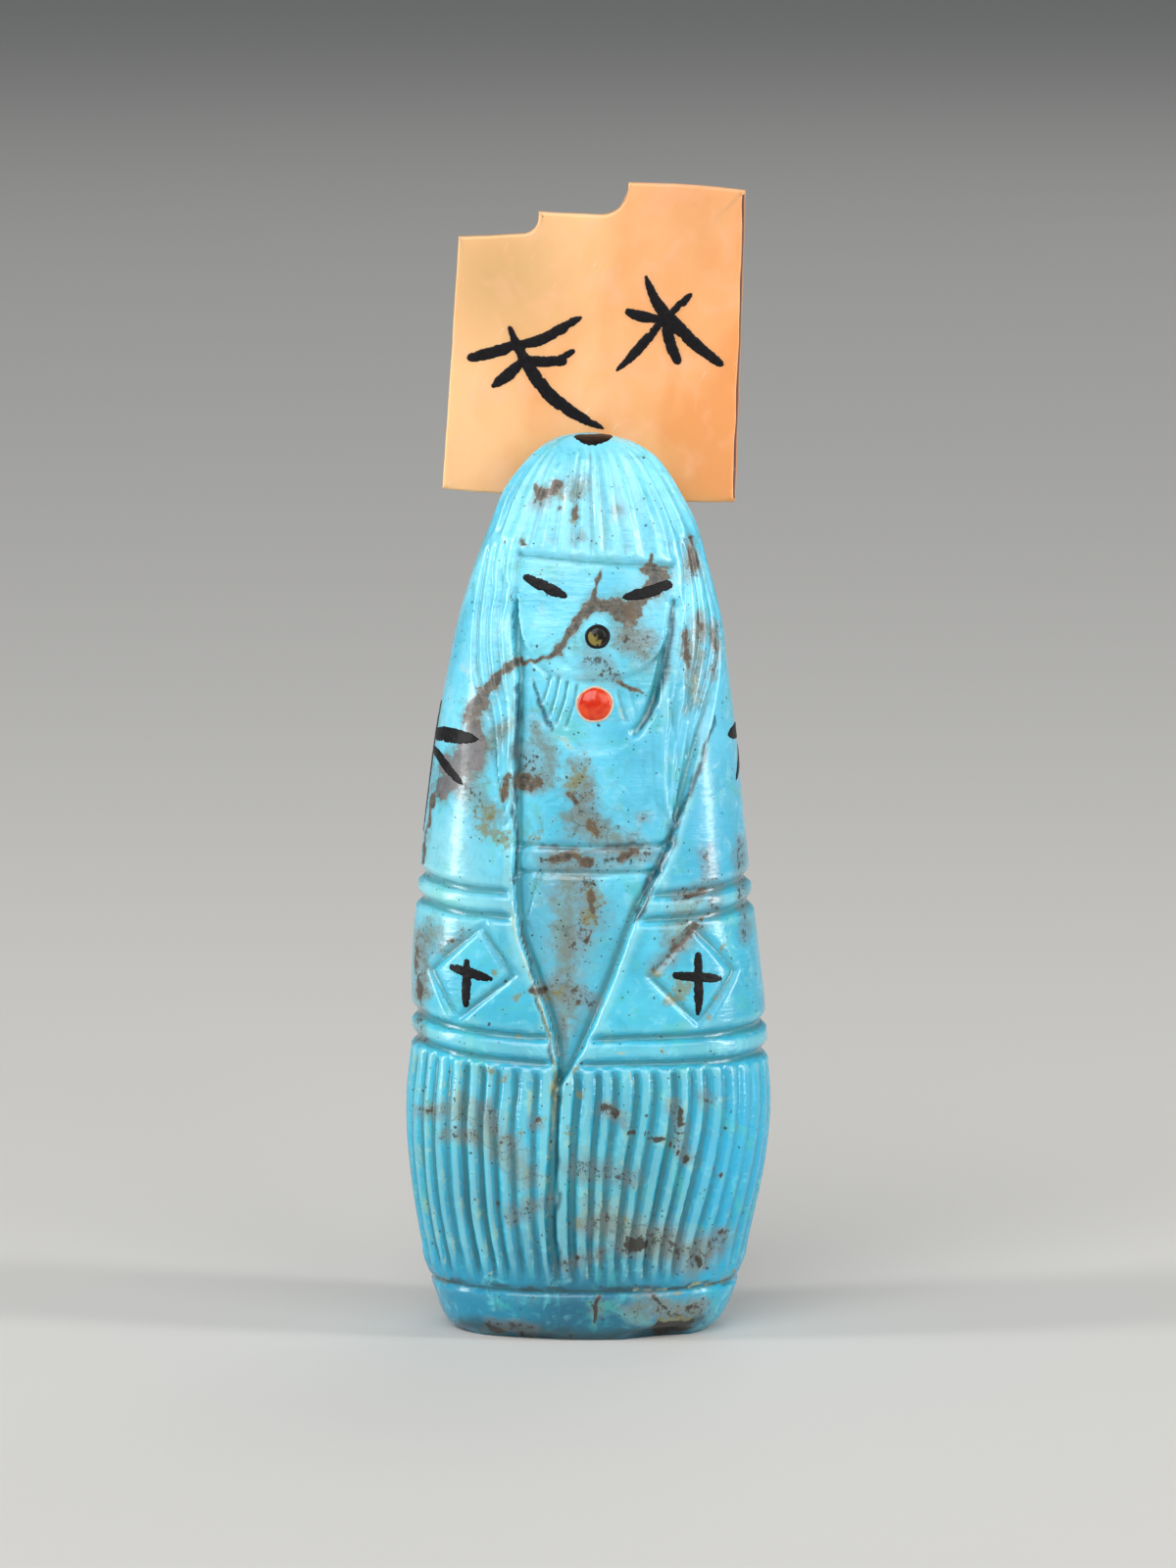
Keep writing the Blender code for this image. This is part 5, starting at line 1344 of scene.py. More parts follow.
# %% Polish
rough = add(tree, "MapRange", {0: fields["matrix"], 1: 0.0, 2: 0.5, 3: 0.24, 4: 0.42})
tree.links.new(rough, shader.inputs["Roughness"])
scratches = add(tree, "TexNoise", {
    "Vector": add(tree, "Mapping", {0: place, 3: (1.2, 1.2, 3.2)}),
    "Scale": 1.0, "Detail": 4.0})
bump = add(tree, "Bump", {"Height": scratches, "Distance": 0.05 * MM, "Strength": 0.5})
bump = add(tree, "Bump", {
    "Height": grain, "Distance": 0.03 * MM, "Strength": 0.4, "Normal": bump})
ripples = add(tree, "TexNoise", {
    "Vector": add(tree, "Mapping", {0: place, 3: (0.9, 0.9, 3.6)}),
    "Scale": 1.0, "Detail": 1.0})
bump = add(tree, "Bump", {
    "Height": ripples, "Distance": 0.05 * MM, "Strength": 0.6, "Normal": bump})
tree.links.new(bump, shader.inputs["Normal"])
for name, value in {
    "IOR": 1.6, "Subsurface Weight": 0.12, "Subsurface Radius": (0.4, 0.9, 1.0),
    "Subsurface Scale": 0.6 * MM, "Coat Weight": 0.2, "Coat Roughness": 0.12}.items():
    shader.inputs[name].default_value = value
print("nodes in the turquoise:", len(tree.nodes))

# %% [markdown]
# The mesh and its material come together here. The fields are written to the points of the
# mesh, where the shader reads them.

# %% The stone
stone = new_piece("turquoise_figure_polished", stone_points, stone_faces, turquoise,
                  "turquoise_figure")
write_values(stone, "marks", matrix_field, ochre_field, veil_field)
write_values(stone, "relief", cavity, lip, sprinkle_field)
write_values(stone, "shade_stain_and_highlight", shade_field, stain_and_highlight_field)
print("stone:", len(stone.data.polygons), "faces")

# %% [markdown]
# Jet is a hard black coal that takes a soft shine. Rubbed flush with the stone it stays a
# little uneven, with paler grain and a few brown flecks where dust from the stone has caught.

# %% Jet
jet, tree, shader, place = new_material("rubbed_jet")
grain = add(tree, "TexNoise", {
    "Vector": place, "Scale": 1 / 0.3, "Detail": 4.0, "Roughness": 0.65})
black = add(tree, "Mix", {
    0: add(tree, "MapRange", {0: grain, 1: 0.4, 2: 0.75}),
    6: linear("#060508"), 7: linear("#141016")}, data_type="RGBA", out=2)
brown = add(tree, "TexNoise", {
    "Vector": place, "Scale": 1 / 0.7, "Detail": 5.0, "Roughness": 0.7})
black = add(tree, "Mix", {
    0: add(tree, "MapRange", {0: brown, 1: 0.62, 2: 0.72, 4: 0.5}),
    6: black, 7: linear("#3a2820")}, data_type="RGBA", out=2)
tree.links.new(black, shader.inputs["Base Color"])
rough = add(tree, "MapRange", {0: grain, 3: 0.3, 4: 0.5})
tree.links.new(rough, shader.inputs["Roughness"])
bump = add(tree, "Bump", {"Height": grain, "Distance": 0.05 * MM, "Strength": 0.5})
tree.links.new(bump, shader.inputs["Normal"])
for name, value in {"IOR": 1.5, "Specular IOR Level": 0.22}.items():
    shader.inputs[name].default_value = value
print("nodes in the jet:", len(tree.nodes))

# %% [markdown]
# Each stroke was cut with a wheel and filled with a sliver of jet, so it tapers to its ends,
# and its edge is ragged where the stone crumbled. It is made as a small patch of the surface.
# The patch stands just proud inside the outline and dips under the stone outside it, so the
# outline shows where the two meet.

# %% Cutting an inlay
STROKE_FULLNESS = 0.6
PATCH_PITCH = 0.05 * MM
PATCH_MARGIN = 0.35 * MM
INLAY_RISE = 0.04 * MM
INLAY_EDGE = 0.1 * MM
INLAY_SINK = 0.3 * MM
INLAY_THICKNESS = 0.35 * MM
CHIPPED = [(0.03 * MM, 0.5 * MM), (0.045 * MM, 0.12 * MM)]
BITE_DEPTH = 0.3 * MM
BITE_SIZE = 0.45 * MM
BITE_FROM = 0.5
JET_RIPPLE = 0.012 * MM
JET_RIPPLE_SIZE = 0.25 * MM


def stroke_field(across, up, strokes):
    """Distance inside a set of tapered strokes, in metres; negative outside them."""
    best = np.full(across.shape, -1.0)
    for points, widths in strokes:
        curve = smooth_curve(points, per_span=10)
        run = np.concatenate([[0], np.cumsum(np.hypot(*np.diff(curve, axis=0).T))])
        share = run / run[-1]
        middle = np.clip(np.sin(np.pi * share), 0, 1) ** STROKE_FULLNESS
        ends = np.interp(share, [0, 1], [widths[0], widths[2]])
        half = (ends + (widths[1] - ends) * middle) / 2
        for start, end, near_half, far_half in zip(curve, curve[1:], half, half[1:]):
            step = end - start
            along = ((across - start[0]) * step[0] + (up - start[1]) * step[1]) / (step @ step)
            along = np.clip(along, 0, 1)
            distance = np.hypot(across - start[0] - along * step[0], up - start[1] - along * step[1])
            best = np.maximum(best, near_half + (far_half - near_half) * along - distance)
    return best


def set_inlay(name, surface, strokes, seed):
    """Lays a ragged patch of jet on a surface, over some strokes drawn in metres."""
    ends = np.vstack([np.array(points) for points, _ in strokes])
    low, high = ends.min(axis=0) - 2 * PATCH_MARGIN, ends.max(axis=0) + 2 * PATCH_MARGIN
    across = np.arange(low[0], high[0], PATCH_PITCH)
    up = np.arange(low[1], high[1], PATCH_PITCH)
    across, up = np.meshgrid(across, up)
    flat = np.stack([across, up, np.full(across.shape, seed * MM)], axis=-1)
    field = stroke_field(across, up, strokes)
    for amount, size in CHIPPED:
        field = field + amount * wobble(flat, size, seed)
    field = field - BITE_DEPTH * np.clip(wobble(flat, BITE_SIZE, seed + 2) - BITE_FROM, 0, 1)
    inside = 1 - (1 - np.clip(field / INLAY_EDGE, 0, 1)) ** 2
    outside = np.clip(-field / INLAY_EDGE, 0, 1)
    lift = INLAY_RISE * inside - INLAY_SINK * outside
    lift = lift + JET_RIPPLE * wobble(flat, JET_RIPPLE_SIZE, seed + 1)
    points = surface(np.stack([across.ravel(), up.ravel()], axis=1), lift.ravel())
    faces = grid_faces(*across.shape, closed=False)
    kept = faces[np.max(field.ravel()[faces], axis=1) > -INLAY_EDGE]
    used, kept = np.unique(kept, return_inverse=True)
    kept = kept.reshape(-1, 4)
    made = new_piece(f"{name}_cut", points[used], kept.tolist(), jet, name)
    deeper = made.modifiers.new("Thickness", "SOLIDIFY")
    deeper.thickness = INLAY_THICKNESS
    deeper.offset = -1
    print(name, len(kept), "faces")
    return made


print("mm between the points of a stroke:", round(PATCH_PITCH / MM, 2))

# %% [markdown]
# The strokes on the stone are drawn on its chart, in percent round and percent up, and turned
# to metres around an anchor. The eyes are slits, each diamond holds a cross, and a dragonfly
# sits on each upper arm with its tail down the side.

# %% Inlays of the stone
EYE_WIDTHS = {
    "eye_inlay_left": (0.42 * MM, 0.86 * MM, 0.2 * MM), "eye_inlay_right": (0.66 * MM, 0.8 * MM, 0.2 * MM),
}
CROSS_WIDTHS = (0.5 * MM, 0.74 * MM, 0.35 * MM)
EYES = {
    "eye_inlay_left": [(-20.0, 84.75), (-13.0, 83.75), (-6.4, 82.75)],
    "eye_inlay_right": [(24.8, 83.9), (18.0, 83.15), (10.5, 82.6)],
}
CROSSES = {
    "cross_inlay_front_left": [[(-26.0, 42.4), (-26.0, 37.5)], [(-29.5, 41.7), (-20.6, 40.8)]],
    "cross_inlay_front_right": [[(23.9, 43.3), (23.3, 36.9)], [(18.5, 41.2), (28.9, 40.5)]],
    "cross_inlay_back_left": [[(-75.5, 43.5), (-75.5, 38.0)], [(-80.5, 41.0), (-70.5, 41.0)]],
    "cross_inlay_back_right": [[(75.5, 43.5), (75.5, 38.0)], [(70.5, 41.0), (80.5, 41.0)]],
}
TAIL_WIDTHS = (0.7 * MM, 1.0 * MM, 0.3 * MM)
DRAGONFLIES = {"dragonfly_inlay_left": (-47.8, -1), "dragonfly_inlay_right": (55.5, 1)}
DRAGONFLY_BODY = [(0.0, 69.8), (0.6, 62.0), (1.6, 55.8)]
DRAGONFLY_WINGS = [
    ([(-0.8, 66.6), (10.0, 67.0), (20.5, 66.9)], (0.5 * MM, 1.1 * MM, 0.15 * MM)),
    ([(0.8, 65.0), (8.0, 64.3), (17.0, 61.9)], (0.4 * MM, 0.8 * MM, 0.2 * MM)),
]
DRAGONFLY_REACH = {"dragonfly_inlay_left": 1.0, "dragonfly_inlay_right": 0.8}


def set_on_chart(name, strokes, seed):
    """Sets an inlay whose strokes are drawn on the chart of the stone."""
    around, up = strokes[0][0][0]
    girth = GIRTH[-1] * np.interp(height_of(up), HEIGHTS, WIDTHS)

    def surface(places, lift):
        return on_stone(
            around + places[:, 0] / girth / PERCENT, up + places[:, 1] / FIGURE_HEIGHT / PERCENT, lift)

    drawn = [
        ((np.array(points) - (around, up)) * PERCENT * (girth, FIGURE_HEIGHT), widths)
        for points, widths in strokes]
    return set_inlay(name, surface, drawn, seed)


FIRST_INLAY_SEED = 40
seed = FIRST_INLAY_SEED
for name, points in EYES.items():
    set_on_chart(name, [(points, EYE_WIDTHS[name])], seed)
    seed += 1
for name, lines in CROSSES.items():
    set_on_chart(name, [(points, CROSS_WIDTHS) for points in lines], seed)
    seed += 1
for name, (around, side) in DRAGONFLIES.items():
    strokes = [([(around + side * x, y) for x, y in DRAGONFLY_BODY], TAIL_WIDTHS)]
    for wing, widths in DRAGONFLY_WINGS:
        for way in (-side, side):
            reach = way * DRAGONFLY_REACH[name]
            strokes.append(([(around + reach * x, y) for x, y in wing], widths))
    set_on_chart(name, strokes, seed)
    seed += 1

# %% [markdown]
# A black lens lies across the top of the head. It is cut straight down, so its surface is the
# crown seen from above.

# %% Crown inlay
CROWN_MM = [(-0.8, -0.95), (-0.3, -1.25), (0.25, -1.35), (0.9, -1.05), (1.5, -0.45)]
CROWN_WIDTHS = (0.15 * MM, 1.4 * MM, 0.3 * MM)


def crown_surface(places, lift):
    """The crown of the head seen from above."""
    depth = FIGURE_DEPTH / FIGURE_WIDTH
    x = np.abs(places[:, 0]) ** SECTION_SQUARENESS
    y = np.abs(places[:, 1] / depth) ** SECTION_SQUARENESS
    width = (x + y) ** (1 / SECTION_SQUARENESS)
    half = len(WIDTHS) // 2
    height = np.interp(-width, -WIDTHS[half:], HEIGHTS[half:])
    return np.column_stack([places, height + lift])


crown_stroke = [(across * MM, back * MM) for across, back in CROWN_MM]
set_inlay("crown_inlay", crown_surface, [(crown_stroke, CROWN_WIDTHS)], seed)
seed += 1

# %% [markdown]
# Red coral is dense and takes a high polish, with soft paler clouds. It is set in pale glue,
# which dries to a dull, milky line.

# %% Coral and glue
coral, tree, shader, place = new_material("polished_red_coral")
cloud = add(tree, "TexNoise", {
    "Vector": place, "Scale": 1 / 0.8, "Detail": 3.0, "Distortion": 0.6})
red = add(tree, "Mix", {
    0: add(tree, "MapRange", {0: cloud, 1: 0.35, 2: 0.7}),
    6: linear("#c62203"), 7: linear("#e04a10")}, data_type="RGBA", out=2)
tree.links.new(red, shader.inputs["Base Color"])
bump = add(tree, "Bump", {"Height": cloud, "Distance": 0.03 * MM, "Strength": 0.4})
tree.links.new(bump, shader.inputs["Normal"])
for name, value in {"Roughness": 0.2, "IOR": 1.5, "Coat Weight": 0.15, "Coat Roughness": 0.08}.items():
    shader.inputs[name].default_value = value

glue, tree, shader, place = new_material("pale_glue")
cloud = add(tree, "TexNoise", {"Vector": place, "Scale": 1 / 0.3, "Detail": 2.0})
pale = add(tree, "Mix", {
    0: cloud, 6: linear("#a98a72"), 7: linear("#e8d9c4")}, data_type="RGBA", out=2)
tree.links.new(pale, shader.inputs["Base Color"])
shader.inputs["Roughness"].default_value = 0.35

print("nodes in the coral:", len(coral.node_tree.nodes), "in the glue:", len(tree.nodes))

# %% [markdown]
# A dot is a plug in a drilled hole, so it is turned from a profile: shares of its radius, and
# heights over the stone. It stands square to the carved surface at its place on the chart, and
# hand work leaves it a little out of round.

# %% Setting a drilled dot
ROUND_SIDES = 64
OUT_OF_ROUND = [(0.02, 2, 1), (0.012, 5, 0)]


def set_drilled(name, place, diameter, profile, materials, rim):
    """A turned plug set square to the stone; the profile is (share of radius, lift)."""
    share = np.array([place[0]]) * PERCENT
    height = height_of(np.array([place[1]]))
    steps = [np.interp(height, HEIGHTS, column) for column in (WIDTHS, WIDTH_STEPS, HEIGHT_STEPS)]
    point, normal, depth, _ = carve(share, steps[0], steps[1], height, steps[2])
    base, axis = (point - normal * depth[:, None])[0], normal[0]
    turn = np.array(Vector(axis).to_track_quat("Z", "Y").to_matrix())
    angle = np.linspace(0, 2 * math.pi, ROUND_SIDES, endpoint=False)
    uneven = 1 + sum(amount * np.sin(lobes * angle + shift) for amount, lobes, shift in OUT_OF_ROUND)
    rings = []
    for reach, lift in profile:
        radius = reach * diameter / 2 * uneven
        level = np.full(ROUND_SIDES, lift)
        rings.append(np.stack([radius * np.cos(angle), radius * np.sin(angle), level], axis=1))
    points = np.vstack(rings + [[[0, 0, profile[0][1]], [0, 0, profile[-1][1]]]])
    ring = np.arange(ROUND_SIDES)
    after = (ring + 1) % ROUND_SIDES
    start, end = len(points) - 2, len(points) - 1
    last = (len(profile) - 1) * ROUND_SIDES
    faces = grid_faces(len(profile), ROUND_SIDES, closed=True).tolist()
    faces = [face[::-1] for face in faces]
    faces += np.stack([ring, after, np.full(ROUND_SIDES, start)], axis=1).tolist()
    faces += np.stack([last + after, last + ring, np.full(ROUND_SIDES, end)], axis=1).tolist()
    made = new_piece(f"{name}_plug", points @ turn.T + base, faces, materials[0], name)
    for extra in materials[1:]:
        made.data.materials.append(extra)
    ring_count = len(profile) - 1
    for number, polygon in enumerate(made.data.polygons):
        if number < ring_count * ROUND_SIDES:
            polygon.material_index = int(rim[0] <= number // ROUND_SIDES < rim[1])
    print(name, "at", [round(float(value) / MM, 1) for value in base])
    return made


print("sides of a dot:", ROUND_SIDES)

# %% [markdown]
# The coral hangs at the throat as a low dome of 2.4 mm. The outer rings of its profile are a
# thin line of glue.

# %% Coral pendant
CORAL_PLACE = (1.7, 71.0)
CORAL_DIAMETER = 2.4 * MM
CORAL_GLUE_RINGS = (6, 10)
CORAL_PROFILE = [
    (0.12, 0.33), (0.35, 0.31), (0.55, 0.26), (0.72, 0.2), (0.86, 0.12), (0.93, 0.05),
    (0.96, 0.0), (1.0, 0.05), (1.06, 0.03), (1.1, -0.1), (1.1, -1.0),
]
profile = [(reach, lift * MM) for reach, lift in CORAL_PROFILE]
set_drilled("coral_pendant", CORAL_PLACE, CORAL_DIAMETER, profile, [coral, glue],
            CORAL_GLUE_RINGS)

# %% [markdown]
# The mouth is a drilled dot of dark, glassy stone. A painted golden glint, broken into
# patches, lies on one side of it. A black line of old glue rings it.

# %% Mouth
mouth, tree, shader, place = new_material("dark_stone_painted_glint")
# The golden side is a painted glint, centred here.
GLINT_CENTRE = (0.0, -6.2, 49.15)
side = add(tree, "VectorMath", {0: place, 1: GLINT_CENTRE}, operation="DISTANCE", out="Value")
side = add(tree, "Math", {0: side, 1: -2.6, 2: 2.4}, operation="MULTIPLY_ADD")
cloud = add(tree, "TexNoise", {
    "Vector": place, "Scale": 1 / 0.35, "Detail": 3.0, "Distortion": 0.5})
patchy = add(tree, "Math", {0: cloud, 1: 3.4, 2: -1.8}, operation="MULTIPLY_ADD")
side = add(tree, "Math", {0: side, 1: patchy}, operation="ADD")
golden_glint = add(tree, "Mix", {
    0: add(tree, "MapRange", {0: side, 1: 0.1, 2: 0.7}),
    6: linear("#0a0805"), 7: linear("#80743a")}, data_type="RGBA", out=2)
tree.links.new(golden_glint, shader.inputs["Base Color"])
for name, value in {
    "Roughness": 0.3, "IOR": 1.5, "Specular IOR Level": 0.25, "Coat Weight": 0.25,
    "Coat Roughness": 0.05}.items():
    shader.inputs[name].default_value = value

MOUTH_PLACE = (2.6, 78.4)
MOUTH_DIAMETER = 1.65 * MM
MOUTH_BLACK_RINGS = (3, 8)
MOUTH_PROFILE = [
    (0.2, 0.12), (0.45, 0.11), (0.68, 0.09), (0.78, 0.06), (0.84, 0.09), (0.92, 0.09),
    (1.0, 0.06), (1.06, -0.06), (1.08, -0.8),
]
profile = [(reach, lift * MM) for reach, lift in MOUTH_PROFILE]
set_drilled("mouth_inlay", MOUTH_PLACE, MOUTH_DIAMETER, profile, [mouth, jet],
            MOUTH_BLACK_RINGS)

# %% [markdown]
# The plate is sawn from a thick seashell. Its outline was filed by hand: three treads with a
# hollow at each riser, edges a little wavy, and corners softened by the polish. The outline is
# a list of closely spaced points, and the edge is a few copies of it set in or back.

# %% Outline of the plate
LOWER_TREAD = 18.1 * MM
LOWER_TREAD_FALL = 0.4 * MM
LOWER_TREAD_LENGTH = 5.85 * MM
MIDDLE_TREAD_LENGTH = 6.2 * MM
FIRST_STEP_RADIUS = 1.1 * MM
SECOND_STEP_RADIUS = 1.9 * MM
FIRST_STEP_RISE = FIRST_STEP_RADIUS + 0.5 * MM
SECOND_STEP_RISE = SECOND_STEP_RADIUS + 0.4 * MM
SIDE_TAPER = 0.35 * MM
FILLET_POINTS = 13
OUTLINE_PITCH = 0.14 * MM
FILED = [(0.025 * MM, 2.4 * MM), (0.012 * MM, 0.8 * MM)]
FILED_SEED = 60
BROKEN_SIDE = 0.2 * MM
BROKEN_WOBBLE = 0.07 * MM
BROKEN_SIZE = 1.9 * MM
BROKEN_SEED = 62
BROKEN_WITHIN = 0.6 * MM
BROKEN_FADE = 0.3 * MM
FACING_LEFT = -0.7
NEAR_TOP = 1 * MM
NEAR_FOOT = 0.5 * MM
TOP_CROWN = 0.12 * MM
TOP_FALL = 0.15 * MM


def step_fillet(corner, tread, radius):
    """The hollow corner of a step, from its riser down on to the tread to its left."""
    angles = np.linspace(0, math.pi / 2, FILLET_POINTS)
    x = corner - radius
    y = tread + radius
    return [(x + radius * math.cos(angle), y - radius * math.sin(angle)) for angle in angles]


first_step = LOWER_TREAD_LENGTH
second_step = first_step + MIDDLE_TREAD_LENGTH
middle_tread = LOWER_TREAD + FIRST_STEP_RISE
plate_top = middle_tread + SECOND_STEP_RISE
corners = [(0, 0), (TABLITA_WIDTH, 0), (TABLITA_WIDTH - SIDE_TAPER, plate_top)]
corners.append((second_step, plate_top))
corners += step_fillet(second_step, middle_tread, SECOND_STEP_RADIUS)
corners.append((first_step, middle_tread))
corners += step_fillet(first_step, LOWER_TREAD, FIRST_STEP_RADIUS)
corners.append((SIDE_TAPER, LOWER_TREAD - LOWER_TREAD_FALL))
corners = np.array(corners)
edge_points = []
for start, end in zip(corners, np.roll(corners, -1, axis=0)):
    count = max(1, round(float(np.hypot(*(end - start))) / OUTLINE_PITCH))
    edge_points.append(start + (end - start) * np.linspace(0, 1, count, endpoint=False)[:, None])
edge_points = np.vstack(edge_points)
tangent = np.roll(edge_points, -1, axis=0) - np.roll(edge_points, 1, axis=0)
inward = np.stack([-tangent[:, 1], tangent[:, 0]], axis=1)
inward /= np.linalg.norm(inward, axis=1, keepdims=True)
flat = np.column_stack([edge_points, np.zeros(len(edge_points))])
filed = 0.0
for number, (amount, size) in enumerate(FILED):
    filed = filed + amount * (1 + wobble(flat, size, FILED_SEED + number))
right_side = ramp(edge_points[:, 0] - TABLITA_WIDTH + BROKEN_WITHIN, BROKEN_FADE)
right_side = right_side * (inward[:, 0] < FACING_LEFT)
broken = right_side * (BROKEN_SIDE + BROKEN_WOBBLE * wobble(flat, BROKEN_SIZE, BROKEN_SEED))
edge_points = edge_points + inward * filed[:, None]
top_share = np.clip((edge_points[:, 0] - second_step) / (TABLITA_WIDTH - second_step), 0, 1)
on_top = edge_points[:, 1] > plate_top - NEAR_TOP
edge_points[:, 1] += on_top * (TOP_CROWN * np.sin(math.pi * top_share) - TOP_FALL * top_share**2)
edge_points[:, 1] -= (edge_points[:, 1] < NEAR_FOOT) * BOTTOM_SAG * bottom_bow(edge_points[:, 0])
print("outline points of the plate:", len(edge_points))

# %% [markdown]
# The edge is ten copies of the outline, each set in and back by part of a millimetre, which
# rounds the front and back edges. Points on a grid fill the two faces, so they can wave a
# little, as a sawn and sanded sheet does.

# %% Mesh of the plate
PLATE_FILL_PITCH = 0.6 * MM
PLATE_WAVES = [(0.03 * MM, 5.0 * MM), (0.008 * MM, 1.3 * MM)]
PLATE_WAVE_SEED = 64
EDGE_RINGS = [
    (0.24, 0.0, 1.0), (0.12, 0.012, 1.0), (0.05, 0.05, 1.0), (0.0, 0.14, 1.0), (0.0, 0.5, 0.6),
    (0.0, 0.75, 0.5), (0.0, 1.0, 0.1), (0.0, 1.36, 0.0), (0.05, 1.46, 0.0), (0.16, 1.5, 0.0),
]


def filled(ring):
    """Points on a grid inside a ring, and the triangles that fill it with them."""
    low, high = ring.min(axis=0), ring.max(axis=0)
    across, up = np.meshgrid(*(np.arange(*ends, PLATE_FILL_PITCH) for ends in zip(low, high)))
    places = np.stack([across.ravel(), up.ravel()], axis=1)
    nearest = np.min(np.hypot(*(places[:, None] - ring[None]).transpose(2, 0, 1)), axis=1)
    after = np.roll(ring, -1, axis=0)
    crosses = (ring[None, :, 1] > places[:, None, 1]) != (after[None, :, 1] > places[:, None, 1])
    rise = np.where(after[:, 1] == ring[:, 1], 1, after[:, 1] - ring[:, 1])
    at = ring[:, 0] + (places[:, None, 1] - ring[:, 1]) * (after[:, 0] - ring[:, 0]) / rise
    inside = np.sum(crosses & (places[:, None, 0] < at), axis=1) % 2 == 1
    places = places[inside & (nearest > PLATE_FILL_PITCH / 3)]
    count = len(ring)
    edges = [(place, (place + 1) % count) for place in range(count)]
    points = [Vector(place) for place in np.vstack([ring, places])]
    _, _, faces, _, _, _ = delaunay_2d_cdt(points, edges, [], 1, 1e-7)
    return places, faces


rings = []
for inset, back, slope in EDGE_RINGS:
    ring = edge_points + inward * (inset * MM + slope * broken)[:, None]
    rings.append(np.column_stack([ring[:, 0], np.full(len(ring), back * MM), ring[:, 1]]))
count = len(edge_points)
plate_faces = [face[::-1] for face in grid_faces(len(rings), count, closed=True).tolist()]
plate_points = list(rings)
for side, ring_number in ((0, 0), (1, len(rings) - 1)):
    ring = rings[ring_number][:, [0, 2]]
    places, faces = filled(ring)
    start = sum(len(part) for part in plate_points) - count
    flat = np.column_stack([places, np.zeros(len(places))])
    wave_seed = PLATE_WAVE_SEED + side
    wave = sum(amount * (1 + wobble(flat, size, wave_seed)) for amount, size in PLATE_WAVES) / 2
    depth_there = wave if side == 0 else TABLITA_THICKNESS - wave
    plate_points.append(np.column_stack([places[:, 0], depth_there, places[:, 1]]))
    for face in faces:
        face = [place + ring_number * count if place < count else place + start for place in face]
        plate_faces.append(face if side == 0 else face[::-1])
plate_points = np.vstack(plate_points)
print("points of the plate:", len(plate_points))

# %% [markdown]
# Thick shell is layered. Polished through, it shows a soft cream that drifts to orange, olive
# and pink in broad clouds. Their places are in millimetres in the plate's own frame, which the
# mesh keeps at its points.

# %% Polished shell
shell, tree, shader, _ = new_material("polished_melon_shell")
local = add(tree, "Attribute", attribute_name="plate_place", out="Vector")
split = add(tree, "SeparateXYZ", {0: local}, out=None)
cloud = add(tree, "TexNoise", {
    "Vector": add(tree, "Mapping", {0: local, 2: (0.0, 0.6, 0.0), 3: (1.0, 1.0, 0.7)}),
    "Scale": 1 / 5, "Detail": 3.0, "Roughness": 0.5, "Distortion": 0.5})
drift = 0.0
for source, strength in ((split["X"], 0.028), (split["Z"], -0.012), (cloud, 0.9)):
    drift = add(tree, "Math", {
        0: source, 1: strength, 2: drift}, operation="MULTIPLY_ADD")
cream = add(tree, "Mix", {
    0: add(tree, "MapRange", {0: drift, 1: 0.4, 2: 0.95}),
    6: linear("#f9c28a"), 7: linear("#e89a58")}, data_type="RGBA", out=2)
SHELL_CLOUDS = [((3.5, 0.0, 15.0), 7.5, 0.75, "#c8a067"), ((16.5, 0.0, 20.5), 6.5, 0.5, "#d8935a")]
for centre, radius, most, colour in SHELL_CLOUDS:
    reach = add(tree, "VectorMath", {0: local, 1: centre}, operation="DISTANCE", out="Value")
    share = add(tree, "MapRange", {0: reach, 1: radius, 2: 1.0, 4: most})
    cream = add(tree, "Mix", {0: share, 6: cream, 7: linear(colour)}, data_type="RGBA", out=2)
blush = add(tree, "TexNoise", {
    "Vector": local, "Scale": 1 / 2.6, "Detail": 3.0, "Distortion": 0.6})
cream = add(tree, "Mix", {
    0: add(tree, "MapRange", {0: blush, 1: 0.5, 2: 0.75, 4: 0.35}),
    6: cream, 7: linear("#fdbd9c")}, data_type="RGBA", out=2)
print("clouds of the shell:", len(SHELL_CLOUDS))

# %% [markdown]
# Along the right edge a thin layer of dark red shows between the front and a paler layer
# behind it. The faces carry a few fine, pale scratches, and the polish has a faint waxy depth.

# %% Layers and polish of the shell
RED_LAYER = ((0.06, 0.14), (0.9, 0.76))
skin = add(tree, "Attribute", attribute_name="skin", out="Vector")
skin = add(tree, "SeparateXYZ", {0: skin}, out="X")
for start, end in RED_LAYER:
    within = add(tree, "MapRange", {0: split["Y"], 1: start, 2: end})
    skin = add(tree, "Math", {0: skin, 1: within}, operation="MULTIPLY")
cream = add(tree, "Mix", {0: skin, 6: cream, 7: linear("#5c1c12")}, data_type="RGBA", out=2)
hairline = add(tree, "TexNoise", {
    "Vector": add(tree, "Mapping", {
        0: local, 2: (0.0, 0.55, 0.0), 3: (0.14, 1.0, 2.2)}, vector_type="TEXTURE"),
    "Scale": 1.0, "Detail": 1.0})
hairline = add(tree, "MapRange", {0: hairline, 1: 0.74, 2: 0.79, 4: 0.5})
cream = add(tree, "Mix", {0: hairline, 6: cream, 7: linear("#fff0dc")}, data_type="RGBA", out=2)
tree.links.new(cream, shader.inputs["Base Color"])
bump = add(tree, "Bump", {"Height": cloud, "Distance": 0.12 * MM, "Strength": 0.3})
bump = add(tree, "Bump", {
    "Height": hairline, "Distance": 0.02 * MM, "Strength": 0.5, "Normal": bump})
tree.links.new(bump, shader.inputs["Normal"])
